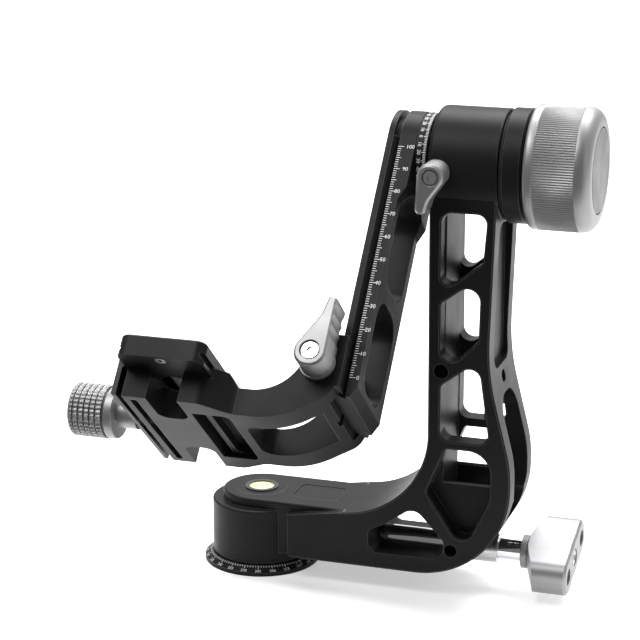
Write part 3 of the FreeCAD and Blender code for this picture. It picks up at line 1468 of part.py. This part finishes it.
def make_plate_fittings(middle, pad_low, pad_middle):
    """Grip strips, end screws and the camera screw of the plate."""
    strips = []
    for start in (s.pad_inset - s.plate_left, s.plate_right - s.pad_inset - s.pad_width):
        corner = Vector(start.value, pad_middle.value - s.pad_length.value / 2, 0)
        strips.append(Part.makeBox(s.pad_width.value, s.pad_length.value, s.pad_thickness.value, corner))
    group = new_piece("Part::Feature", "plate_pads")
    group.Shape = Part.makeCompound(strips)
    put_on_cradle(group, z=pad_low)

    screws = []
    for along in (s.stop_pin_inset - s.plate_near, s.plate_far - s.stop_pin_inset):
        screw = set_screw(s.stop_pin_radius.value, s.stop_pin_height.value, s.stop_pin_key.value)
        spot = Vector(middle.value, along.value, s.stop_pin_height.value)
        screw.Placement = Placement(spot, Rotation(X_AXIS, 180))
        screws.append(screw)
    group = new_piece("Part::Feature", "plate_stop_screws")
    group.Shape = Part.makeCompound(screws)
    put_on_cradle(group, z=-s.plate_bottom)

    head = s.plate_bottom - s.running_gap - s.free_gap
    ledge = s.plate_bottom - s.plate_slot_ledge + s.running_gap
    thread = s.camera_screw_clear - s.plate_top
    tip = s.camera_screw_rise - s.plate_top
    screw = turned("camera_screw", "Z", [
        (-head, 0, 0), (-head, s.camera_screw_head, 0), (-ledge, s.camera_screw_head, 0),
        (-ledge, s.camera_screw_neck, 0), (thread, s.camera_screw_neck, 0),
        (thread, s.camera_screw_radius, 0), (tip, s.camera_screw_radius, 0), (tip, 0, 0)])
    put_on_cradle(screw, x=middle, y=-s.camera_screw_y)


for make in (make_base_disc, make_pan_spindle, make_hub_fittings, make_pan_bearing, make_pan_nut,
             make_main_frame, make_level, make_badge, make_frame_screw, make_pan_lock, make_tilt_shaft,
             make_drag, make_tilt_lock, make_swing_arm, make_bracket, make_cradle_lock, make_clamp,
             make_plate):
    make()
doc.recompute()

# Checks and export

for thing in doc.Objects:
    if "Invalid" in thing.State or "Error" in thing.State:
        raise RuntimeError(f"{thing.Label} failed: {thing.State}")

os.makedirs("parts", exist_ok=True)
for piece in PIECES:
    if piece.Shape.isNull() or not piece.Shape.isValid():
        raise RuntimeError(f"{piece.Label} has no valid shape")
    piece.Shape.exportStep(f"parts/{piece.Label}.step")
print(len(PIECES), "pieces written")
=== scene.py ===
# %% [markdown]
# # A gimbal tripod head
# This lesson dresses the solid model of a gimbal head: a black frame that pans on a base disc, an arm that swings
# from a large silver knob, and a cradle that carries a lens. The solids already have the right shape and size, so
# the work here is finish, knurling and the small white scales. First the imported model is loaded.

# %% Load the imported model
import json
import math

import bmesh
import bpy
from mathutils import Matrix, Vector


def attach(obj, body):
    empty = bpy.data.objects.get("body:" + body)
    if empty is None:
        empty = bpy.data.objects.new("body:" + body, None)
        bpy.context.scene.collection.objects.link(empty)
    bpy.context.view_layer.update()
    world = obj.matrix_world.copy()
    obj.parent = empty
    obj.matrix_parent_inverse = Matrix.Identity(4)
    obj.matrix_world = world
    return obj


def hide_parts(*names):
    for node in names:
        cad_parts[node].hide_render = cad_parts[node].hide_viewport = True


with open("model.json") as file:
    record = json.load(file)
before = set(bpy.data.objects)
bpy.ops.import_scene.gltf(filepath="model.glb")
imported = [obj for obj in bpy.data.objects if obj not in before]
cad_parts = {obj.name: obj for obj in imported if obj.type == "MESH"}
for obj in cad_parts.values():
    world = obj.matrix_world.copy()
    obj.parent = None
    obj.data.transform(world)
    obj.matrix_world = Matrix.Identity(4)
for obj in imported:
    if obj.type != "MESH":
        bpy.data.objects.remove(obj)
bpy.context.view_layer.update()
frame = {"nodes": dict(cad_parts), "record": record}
nodes = frame["nodes"]
MM = 0.001

# %% [markdown]
# The camera stands a little under a metre away, raised about sixteen degrees and turned eighteen degrees to the
# right of square, with a long lens. A long lens keeps parallel edges nearly parallel, as in a catalogue picture.

# %% Camera
camera_data = bpy.data.cameras.new("camera")
camera_data.lens = 120.08
camera_data.sensor_width = 36
camera_data.clip_start = 0.05
camera_data.clip_end = 20
camera = bpy.data.objects.new("camera", camera_data)
bpy.context.scene.collection.objects.link(camera)
CAMERA_PLACE = Vector((294.0, -817.6, 351.9)) * MM
look_at = Vector((26.367, 0, 108.765)) * MM
camera.location = CAMERA_PLACE
camera.rotation_euler = (look_at - camera.location).to_track_quat("-Z", "Y").to_euler()
bpy.context.scene.camera = camera
print("camera distance:", round((look_at - camera.location).length, 4), "m")


# %% [markdown]
# A piece is easiest to build with a few helpers: one turns a bmesh into an object, one spins an outline about the
# X axis, and one lays a flat mark on a surface. All sizes below are in millimetres and become metres at the end.

# %% Helpers for new pieces
def finish_piece(name, mesh_tool, material, smooth_angle=40):
    """Turn a bmesh in millimetres into an object in metres with one material."""
    bmesh.ops.scale(mesh_tool, vec=(MM, MM, MM), verts=mesh_tool.verts)
    bmesh.ops.remove_doubles(mesh_tool, verts=mesh_tool.verts, dist=1e-7)
    bmesh.ops.recalc_face_normals(mesh_tool, faces=mesh_tool.faces)
    limit = math.radians(smooth_angle)
    for edge in mesh_tool.edges:
        edge.smooth = len(edge.link_faces) == 2 and edge.calc_face_angle(0) < limit
    for face in mesh_tool.faces:
        face.smooth = True
    mesh = bpy.data.meshes.new(name)
    mesh_tool.to_mesh(mesh)
    mesh_tool.free()
    piece = bpy.data.objects.new(name, mesh)
    bpy.context.scene.collection.objects.link(piece)
    piece.data.materials.append(material)
    return piece


def spin_outline(outline, steps):
    """Spin an outline of (x, radius) points a full turn about the X axis."""
    tool = bmesh.new()
    points = [tool.verts.new((x, 0, radius)) for x, radius in outline]
    edges = [tool.edges.new(pair) for pair in zip(points, points[1:])]
    bmesh.ops.spin(tool, geom=points + edges, cent=(0, 0, 0), axis=(1, 0, 0), angle=math.tau, steps=steps,
                   use_merge=True)
    bmesh.ops.remove_doubles(tool, verts=tool.verts, dist=1e-4)
    return tool


def rounded(centre_x, centre_radius, radius, start, end, count):
    """Points of an arc for a spun outline, with angles in degrees from +X."""
    points = []
    for index in range(count + 1):
        angle = math.radians(start + (end - start) * index / count)
        points.append((centre_x + radius * math.cos(angle), centre_radius + radius * math.sin(angle)))
    return points


def cut_flutes(tool, low, high, count, depth, per_flute=4):
    """Press straight grooves into a spun band between two places along X."""
    step = math.tau / (count * per_flute)
    moved = 0
    for vert in tool.verts:
        if low <= vert.co.x <= high:
            place = round(math.atan2(vert.co.y, vert.co.z) / step) % per_flute
            share = 0.5 + 0.5 * math.cos(math.tau * place / per_flute)
            if share > 0.01:
                radius = math.hypot(vert.co.y, vert.co.z)
                factor = (radius - depth * share) / radius
                vert.co.y *= factor
                vert.co.z *= factor
                moved += 1
    return moved


# %% [markdown]
# The black parts are anodised aluminium after bead blasting: a dark skin with a very fine grain, satin rather than
# glossy. Chamfers and edges catch the light as thin bright lines, and this highlight is painted into the colour as
# a lighter skin along every edge. The edge is found by comparing the true surface direction with one that the Bevel
# node has rounded off.

# %% Materials
def new_material(name):
    material = bpy.data.materials.new(name)
    material.use_nodes = True
    tree = material.node_tree
    shader = tree.nodes["Principled BSDF"]
    place = tree.nodes.new("ShaderNodeTexCoord")
    return material, tree, shader, place


def grain(tree, place, shader, scale, strength, distance, bevel=None):
    """Fine bead-blasted grain as a bump, over a rounded edge where one is given."""
    noise = tree.nodes.new("ShaderNodeTexNoise")
    noise.inputs["Scale"].default_value = scale
    noise.inputs["Detail"].default_value = 3
    tree.links.new(place.outputs["Object"], noise.inputs["Vector"])
    bump = tree.nodes.new("ShaderNodeBump")
    bump.inputs["Strength"].default_value = strength
    bump.inputs["Distance"].default_value = distance
    tree.links.new(noise.outputs["Fac"], bump.inputs["Height"])
    if bevel is not None:
        tree.links.new(bevel.outputs["Normal"], bump.inputs["Normal"])
    tree.links.new(bump.outputs["Normal"], shader.inputs["Normal"])
    return noise


def edge_glow(tree, radius):
    """A factor that is one on sharp edges and nought on flat faces, with its Bevel node; it masks the painted edge
    highlight.
    """
    bevel = tree.nodes.new("ShaderNodeBevel")
    bevel.samples = 4
    bevel.inputs["Radius"].default_value = radius
    surface = tree.nodes.new("ShaderNodeNewGeometry")
    match = tree.nodes.new("ShaderNodeVectorMath")
    match.operation = "DOT_PRODUCT"
    tree.links.new(bevel.outputs["Normal"], match.inputs[0])
    tree.links.new(surface.outputs["Normal"], match.inputs[1])
    spread = tree.nodes.new("ShaderNodeMapRange")
    spread.inputs["From Min"].default_value = 0.995
    spread.inputs["From Max"].default_value = 0.90
    tree.links.new(match.outputs["Value"], spread.inputs["Value"])
    return spread, bevel


def tone(tree, place, scale, low, high):
    """A slow change of one number over the surface."""
    noise = tree.nodes.new("ShaderNodeTexNoise")
    noise.inputs["Scale"].default_value = scale
    noise.inputs["Detail"].default_value = 4
    tree.links.new(place.outputs["Object"], noise.inputs["Vector"])
    spread = tree.nodes.new("ShaderNodeMapRange")
    spread.inputs["From Min"].default_value = 0.3
    spread.inputs["From Max"].default_value = 0.7
    spread.inputs["To Min"].default_value = low
    spread.inputs["To Max"].default_value = high
    tree.links.new(noise.outputs["Fac"], spread.inputs["Value"])
    return spread


def blasted_metal(name, colour, painted_highlight_colour, roughness, metallic, edge_radius=0.0004, bump=0.25, shine=0.5):
    """Bead-blasted aluminium with a painted highlight, a lighter colour, along its edges."""
    material, tree, shader, place = new_material(name)
    edge, bevel = edge_glow(tree, edge_radius)
    # Painted highlight: the edge mask mixes the lighter colour into the base colour along every edge.
    painted_highlight_mix = tree.nodes.new("ShaderNodeMix")
    painted_highlight_mix.data_type = "RGBA"
    painted_highlight_mix.inputs["A"].default_value = (*colour, 1)
    painted_highlight_mix.inputs["B"].default_value = (*painted_highlight_colour, 1)
    tree.links.new(edge.outputs["Result"], painted_highlight_mix.inputs["Factor"])
    tree.links.new(painted_highlight_mix.outputs["Result"], shader.inputs["Base Color"])
    rough = tone(tree, place, 60, roughness - 0.04, roughness + 0.04)
    tree.links.new(rough.outputs["Result"], shader.inputs["Roughness"])
    shader.inputs["Metallic"].default_value = metallic
    shader.inputs["Specular IOR Level"].default_value = shine
    grain(tree, place, shader, 2600, bump, 0.00003, bevel)
    return material


def plain_finish(name, colour, roughness, metallic=0.0, bump=0.1, scale=1200):
    """A finish without edge wear: turned steel, rubber, nylon or print."""
    material, tree, shader, place = new_material(name)
    shader.inputs["Base Color"].default_value = (*colour, 1)
    shader.inputs["Metallic"].default_value = metallic
    rough = tone(tree, place, 90, max(roughness - 0.05, 0.02), roughness + 0.05)
    tree.links.new(rough.outputs["Result"], shader.inputs["Roughness"])
    grain(tree, place, shader, scale, bump, 0.00002)
    return material


# The second colour of each of these three finishes is a painted edge highlight, lighter than the base colour.
BLACK = blasted_metal("black_anodised", (0.011, 0.011, 0.012), (0.12, 0.12, 0.125), 0.42, 0.0, shine=0.1)
BLACK_SMALL = blasted_metal("black_small_parts", (0.011, 0.011, 0.012), (0.08, 0.08, 0.08), 0.4, 0.0, 0.0002,
                            shine=0.2)
SILVER = blasted_metal("silver_satin", (0.27, 0.27, 0.275), (0.5, 0.5, 0.505), 0.46, 0.7, 0.0003, 0.35)
STEEL = plain_finish("turned_steel", (0.56, 0.56, 0.57), 0.28, 1.0)
CHROME = plain_finish("chromed_rod", (0.78, 0.78, 0.8), 0.08, 1.0, 0.02)
RUBBER = plain_finish("grip_rubber", (0.016, 0.016, 0.016), 0.75, 0.0, 0.4)
NYLON = plain_finish("white_nylon", (0.62, 0.62, 0.58), 0.5)
GLOSS_BLACK = plain_finish("gloss_black_ring", (0.012, 0.012, 0.012), 0.22)
CAP_GREY = plain_finish("grey_end_cap", (0.075, 0.075, 0.078), 0.42, 0.5, 0.2, 2400)
WHITE_INK = plain_finish("white_ink", (0.82, 0.82, 0.82), 0.5)
VIAL = plain_finish("level_liquid", (0.66, 0.74, 0.4), 0.12)
print("materials:", len(bpy.data.materials))

# %% [markdown]
# Each solid names the kind of surface it has, so one table is enough to dress them all. Only the cap in the end of
# the drag knob gets a finish of its own, a darker grey that sets it off from the silver rim.

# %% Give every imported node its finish
FINISHES = {
    "black_body": BLACK, "black_parts": BLACK_SMALL, "silver": SILVER, "steel": STEEL, "chrome": CHROME,
    "rubber": RUBBER, "bush_metal": STEEL, "nylon": NYLON, "ring_black": GLOSS_BLACK, "vial": VIAL,
}
slot_of = {part["node"]: part["material_slot"] for part in frame["record"]["subparts"]}
for name, node in nodes.items():
    finish = CAP_GREY if name == "knob_end_cap" else FINISHES[slot_of[name]]
    node.data.materials.clear()
    node.data.materials.append(finish)

# %% [markdown]
# The swing arm and the cradle hang forty degrees out of plumb. Their extra pieces are drawn upright, about the tilt
# axis, and one turn and one shift bring them to where the arm hangs.

# %% Place pieces that swing with the arm
SWING_TURN = Matrix.Rotation(math.radians(-40), 4, "X")


def into_cradle(tool):
    """Move a bmesh drawn in the swing arm's own axes to where the arm hangs."""
    bmesh.ops.transform(tool, matrix=Matrix.Translation((0, 0, 180)) @ SWING_TURN, verts=tool.verts)


# %% [markdown]
# The big silver knob sets the drag of the swing. Its rim has about a hundred and fifty straight flutes for grip,
# between a smooth ring at the collar and a wide rounded shoulder. It is spun from an outline, and the points of the
# rim are then pushed inwards in a wave, which is quicker and cleaner than cutting each flute.

# %% Drag knob
FLUTES = 150
FLUTE_DEPTH = 0.45
KNOB_START, KNOB_END, KNOB_RADIUS = 116.2, 142.6, 25.0
KNOB_BORE, CAP_DEPTH = 8.05, 1.55
LIP, SHOULDER, CAP_RADIUS = 1.8, 5.5, 17.4
FLUTE_START, FLUTE_END = 120.3, 136.4
knob_outline = [(KNOB_START, KNOB_BORE), (KNOB_START, KNOB_RADIUS - LIP)]
knob_outline += rounded(KNOB_START + LIP, KNOB_RADIUS - LIP, LIP, 180, 90, 6)
knob_outline += [(FLUTE_START - 0.3, KNOB_RADIUS), (FLUTE_START, KNOB_RADIUS), (FLUTE_START + 8, KNOB_RADIUS),
                 (FLUTE_END, KNOB_RADIUS), (FLUTE_END + 0.3, KNOB_RADIUS)]
knob_outline += rounded(KNOB_END - SHOULDER, KNOB_RADIUS - SHOULDER, SHOULDER, 90, 5, 12)
knob_outline += [(KNOB_END, CAP_RADIUS + 0.1), (KNOB_END - CAP_DEPTH, CAP_RADIUS + 0.05),
                 (KNOB_END - CAP_DEPTH, 0.0)]
knob = spin_outline(knob_outline, FLUTES * 4)
pressed = cut_flutes(knob, FLUTE_START - 0.05, FLUTE_END + 0.05, FLUTES, FLUTE_DEPTH)
into_cradle(knob)
knob_piece = finish_piece("drag_knob_fluted", knob, SILVER, 35)
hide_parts("tilt_drag_knob")
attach(knob_piece, "drag_control")
print("points pressed in:", pressed)

# %% [markdown]
# The clamp knob at the end of the cradle has six knurled bands with deep grooves between them. It is spun in the
# same way about its own axis, then turned and moved onto the axis of the clamp screw.

# %% Clamp knob
CLAMP_FLUTES = 36
CLAMP_FLUTE_DEPTH = 0.5
CLAMP_END, CLAMP_START, CLAMP_AXIS_Z = -49.8, -31.0, -122
CLAMP_RADIUS, GROOVE_RADIUS, GROOVE_WIDTH = 10.7, 9.7, 0.7
CLAMP_BEVEL, SMOOTH_RING = 1.1, 4.4
SLEEVE_RADIUS, SLEEVE_START, CLAMP_BORE = 5.8, -22.8, 3.0
BANDS = 6
half_groove = GROOVE_WIDTH / 2
band_width = (CLAMP_START - CLAMP_END - SMOOTH_RING) / BANDS
clamp_outline = [(CLAMP_END, 0.0), (CLAMP_END, CLAMP_RADIUS - CLAMP_BEVEL)]
clamp_outline += rounded(CLAMP_END + CLAMP_BEVEL, CLAMP_RADIUS - CLAMP_BEVEL, CLAMP_BEVEL, 180, 110, 3)
for band in range(BANDS):
    start = CLAMP_END + band * band_width + (CLAMP_BEVEL if band == 0 else half_groove)
    end = CLAMP_END + (band + 1) * band_width - (0.0 if band == BANDS - 1 else half_groove)
    clamp_outline += [(start, CLAMP_RADIUS), (start + 0.15, CLAMP_RADIUS), (end - 0.15, CLAMP_RADIUS),
                      (end, CLAMP_RADIUS)]
    if band < BANDS - 1:
        clamp_outline += [(end, GROOVE_RADIUS), (end + GROOVE_WIDTH, GROOVE_RADIUS)]
clamp_outline += [(-35.4, 9.2), (-34.7, 9.2), (-34.7, 10.0), (-34.3, 10.3), (-31.4, 10.3), (CLAMP_START, 10.0),
                  (CLAMP_START, SLEEVE_RADIUS), (SLEEVE_START, SLEEVE_RADIUS), (SLEEVE_START, CLAMP_BORE)]
clamp = spin_outline(clamp_outline, CLAMP_FLUTES * 6)
for band in range(BANDS):
    start = CLAMP_END + band * band_width
    low = start + (CLAMP_BEVEL if band == 0 else half_groove) + 0.1
    high = start + band_width - (0.0 if band == BANDS - 1 else half_groove) - 0.1
    cut_flutes(clamp, low, high, CLAMP_FLUTES, CLAMP_FLUTE_DEPTH, 6)
bmesh.ops.translate(clamp, vec=(0, 0, CLAMP_AXIS_Z), verts=clamp.verts)
into_cradle(clamp)
clamp_piece = finish_piece("clamp_knob_fluted", clamp, SILVER, 35)
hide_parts("clamp_knob")
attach(clamp_piece, "jaw_control")


# %% [markdown]
# The scales are laser marks: thin white lines and small figures. A mark is a flat sheet laid a few hundredths of a
# millimetre above the metal, so that it never flickers through it. Figures start as text and become a mesh.

# %% Helpers for scales
LIFT = 0.03


def add_bar(tool, centre, along, across, length, width):
    """Add one flat line mark, given its centre, its two directions and its size."""
    before = set(tool.verts)
    bmesh.ops.create_grid(tool, x_segments=1, y_segments=1, size=0.5)
    new = [vert for vert in tool.verts if vert not in before]
    along, across = Vector(along).normalized(), Vector(across).normalized()
    normal = along.cross(across)
    turn = Matrix((along, across, normal)).transposed().to_4x4()
    size_change = Matrix.Diagonal((length, width, 1, 1))
    bmesh.ops.transform(tool, matrix=Matrix.Translation(centre) @ turn @ size_change, verts=new)


def add_figure(tool, text, centre, right, up, height):
    """Add a number whose middle is at the centre, reading along right with its top towards up."""
    curve = bpy.data.curves.new("figure", "FONT")
    curve.body = text
    curve.size = height * 1.35
    curve.align_x = "CENTER"
    curve.align_y = "CENTER"
    curve.resolution_u = 3
    carrier = bpy.data.objects.new("figure", curve)
    bpy.context.scene.collection.objects.link(carrier)
    mesh = bpy.data.meshes.new_from_object(carrier)
    bpy.data.objects.remove(carrier)
    bpy.data.curves.remove(curve)
    before = set(tool.verts)
    tool.from_mesh(mesh)
    bpy.data.meshes.remove(mesh)
    new = [vert for vert in tool.verts if vert not in before]
    right, up = Vector(right).normalized(), Vector(up).normalized()
    turn = Matrix((right, up, right.cross(up))).transposed().to_4x4()
    bmesh.ops.transform(tool, matrix=Matrix.Translation(centre) @ turn, verts=new)


def lay_marks(name, tool, body):
    """Finish a sheet of marks without closing it, and let it ride on a body."""
    bmesh.ops.scale(tool, vec=(MM, MM, MM), verts=tool.verts)
    mesh = bpy.data.meshes.new(name)
    tool.to_mesh(mesh)
    tool.free()
    piece = bpy.data.objects.new(name, mesh)
    bpy.context.scene.collection.objects.link(piece)
    piece.data.materials.append(WHITE_INK)
    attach(piece, body)
    print(name, "faces:", len(mesh.polygons))
    return piece


# %% [markdown]
# The swing arm carries a millimetre scale from 0 to 100, which shows how high the cradle is clamped. Its lines
# start at the rail's groove; every fifth is longer and every tenth has a figure beside it.

# %% Scale of the swing arm
ARM_FACE_Y, ARM_SCALE_X, ARM_SCALE_ZERO = -19.33, 65.0, -105.2
ARM_LINE_WIDTH, ARM_FIGURE_HEIGHT = 0.22, 1.7
arm = bmesh.new()
face_y = ARM_FACE_Y - LIFT
for count in range(101):
    height = ARM_SCALE_ZERO + count
    length = 2.4 if count % 10 == 0 else (2.0 if count % 5 == 0 else 1.3)
    add_bar(arm, (ARM_SCALE_X + length / 2, face_y, height), (1, 0, 0), (0, 0, 1), length, ARM_LINE_WIDTH)
    if count % 10 == 0:
        reach = 68.3 if height < -24 else 69.6
        place = (reach if count < 100 else 69.9, face_y, height)
        add_figure(arm, str(count), place, (1, 0, 0), (0, 0, 1), ARM_FIGURE_HEIGHT)
into_cradle(arm)
lay_marks("arm_scale", arm, "swing")

# %% [markdown]
# The tilt ring turns with the arm past the frame and shows the tilt in degrees. Its lines run along the axis at the
# edge nearest the frame, and the figures stand beside them, turned so that they read along the ring.

# %% Scale of the tilt ring
RING_RADIUS, RING_EDGE_X, RING_FIGURE_X = 19.2, 76.0, 73.2
RING_LINE_WIDTH, RING_FIGURE_HEIGHT = 0.24, 1.5
ring = bmesh.new()
for degree in range(0, 360, 2):
    angle = math.radians(degree)
    out = Vector((0, -math.cos(angle), math.sin(angle)))
    around = Vector((0, -math.sin(angle), -math.cos(angle)))
    length = 1.6 if degree % 10 == 0 else 1.0
    middle = out * (RING_RADIUS + LIFT) + Vector((RING_EDGE_X - length / 2, 0, 0))
    add_bar(ring, middle, (1, 0, 0), around, length, RING_LINE_WIDTH)
    if degree % 10 == 0:
        shown = degree if degree <= 180 else 360 - degree
        place = out * (RING_RADIUS + LIFT) + Vector((RING_FIGURE_X, 0, 0))
        add_figure(ring, str(shown), place, around, (1, 0, 0), RING_FIGURE_HEIGHT)
into_cradle(ring)
lay_marks("tilt_ring_scale", ring, "swing")

# %% [markdown]
# The base disc stays still on the tripod while the head pans, so its scale lies on the sloping rim where the hub
# leaves it open. A line every three degrees and a figure every fifteen fit the small radius.

# %% Scale of the base disc
SLOPE_TOP, SLOPE_FOOT = Vector((21.6, 0, 3.8)), Vector((24.8, 0, 1.6))
SCALE_TOP = Vector((21.75, 0, 3.7))
DISC_LINE_WIDTH, DISC_FIGURE_HEIGHT = 0.26, 1.35
disc = bmesh.new()
slope = (SLOPE_FOOT - SLOPE_TOP).normalized()
for degree in range(0, 360, 3):
    turn = Matrix.Rotation(math.radians(degree), 3, "Z")
    down = turn @ slope
    out = turn @ Vector((-slope.z, 0, slope.x))
    around = out.cross(down)
    length = 1.5 if degree % 15 == 0 else 0.9
    top = turn @ SCALE_TOP
    add_bar(disc, top + down * length / 2 + out * LIFT, down, around, length, DISC_LINE_WIDTH)
    if degree % 15 == 0:
        add_figure(disc, str(degree), top + down * 2.75 + out * LIFT, around, -down, DISC_FIGURE_HEIGHT)
lay_marks("pan_scale", disc, "base")

# %% [markdown]
# One longer line on the same slope is the mark where a pan begins. It lies beside the figures, a little to the
# right of the front, and is drawn like the others.

# %% Long line of the pan scale
start_line = bmesh.new()
START_ANGLE, START_LENGTH, START_WIDTH = -25, 2.7, 0.3
line_turn = Matrix.Rotation(math.radians(START_ANGLE), 3, "Z")
line_down = line_turn @ slope
line_out = line_turn @ Vector((-slope.z, 0, slope.x))
line_middle = line_turn @ SCALE_TOP + line_down * 1.45 + line_out * LIFT
add_bar(start_line, line_middle, line_down, line_out.cross(line_down), START_LENGTH, START_WIDTH)
lay_marks("pan_start_line", start_line, "base")

# %% [markdown]
# The level is a small round vial with a pale green liquid. A dark ring marks the middle and the bubble rests
# inside it, so the vial reads as a level even at a small size.

# %% Bubble of the level
VIAL_RING_RADIUS, VIAL_RING_SHARE, VIAL_TOP = 2.2, 0.86, 32.53
bubble = bmesh.new()
bmesh.ops.create_circle(bubble, cap_ends=False, segments=48, radius=VIAL_RING_RADIUS)
ring_edges = list(bubble.edges)
grown = bmesh.ops.extrude_edge_only(bubble, edges=ring_edges)
inner = [item for item in grown["geom"] if isinstance(item, bmesh.types.BMVert)]
bmesh.ops.scale(bubble, vec=(VIAL_RING_SHARE, VIAL_RING_SHARE, 1), verts=inner)
bmesh.ops.translate(bubble, vec=(0, 0, VIAL_TOP), verts=bubble.verts)
bubble_piece = finish_piece("level_circle", bubble, GLOSS_BLACK)
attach(bubble_piece, "frame")

# %% [markdown]
# The picture is lit like a catalogue photograph: a wide soft light above and behind makes the upper faces grey and
# outlines the edges, while the sides that face the camera stay dark. A pale floor carries a faint shadow.

# %% Floor, lights and world
floor_tool = bmesh.new()
bmesh.ops.create_grid(floor_tool, x_segments=1, y_segments=1, size=6000)
bmesh.ops.translate(floor_tool, vec=(0, 5850, 0), verts=floor_tool.verts)
floor_finish = plain_finish("pale_floor", (0.9, 0.9, 0.9), 0.7, 0.0, 0.02, 40)
floor_shader = floor_finish.node_tree.nodes["Principled BSDF"]
floor_shader.inputs["Emission Color"].default_value = (1, 1, 1, 1)
floor_shader.inputs["Emission Strength"].default_value = 0.45
floor = finish_piece("floor", floor_tool, floor_finish)


def soft_light(name, place, aim, width, height, power):
    """A rectangular studio light that points at a place on the object."""
    data = bpy.data.lights.new(name, "AREA")
    data.shape = "RECTANGLE"
    data.size = width
    data.size_y = height
    data.energy = power
    light = bpy.data.objects.new(name, data)
    bpy.context.scene.collection.objects.link(light)
    light.location = place
    light.rotation_euler = (Vector(aim) - Vector(place)).to_track_quat("-Z", "Y").to_euler()
    return light


soft_light("key_light", (-0.38, -0.54, 1.15), (0.03, 0, 0.1), 0.8, 0.6, 12.5)
soft_light("back_light", (0.1, 0.7, 1.3), (0.03, 0.1, 0.05), 1.4, 0.8, 34)
soft_light("right_light", (1.2, -0.3, 0.5), (0.1, 0, 0.15), 0.3, 0.9, 1.5)

world = bpy.data.worlds.new("studio")
world.use_nodes = True
sky = world.node_tree
direction = sky.nodes.new("ShaderNodeTexCoord")
parts = sky.nodes.new("ShaderNodeSeparateXYZ")
sky.links.new(direction.outputs["Generated"], parts.inputs["Vector"])
behind = sky.nodes.new("ShaderNodeMapRange")
behind.inputs["From Min"].default_value = -0.1
behind.inputs["From Max"].default_value = 0.6
behind.inputs["To Min"].default_value = 0.2
behind.inputs["To Max"].default_value = 1.0
sky.links.new(parts.outputs["Y"], behind.inputs["Value"])
sky.nodes["Background"].inputs["Color"].default_value = (1, 1, 1, 1)
sky.links.new(behind.outputs["Result"], sky.nodes["Background"].inputs["Strength"])
bpy.context.scene.world = world
bpy.context.scene.view_settings.view_transform = "Standard"
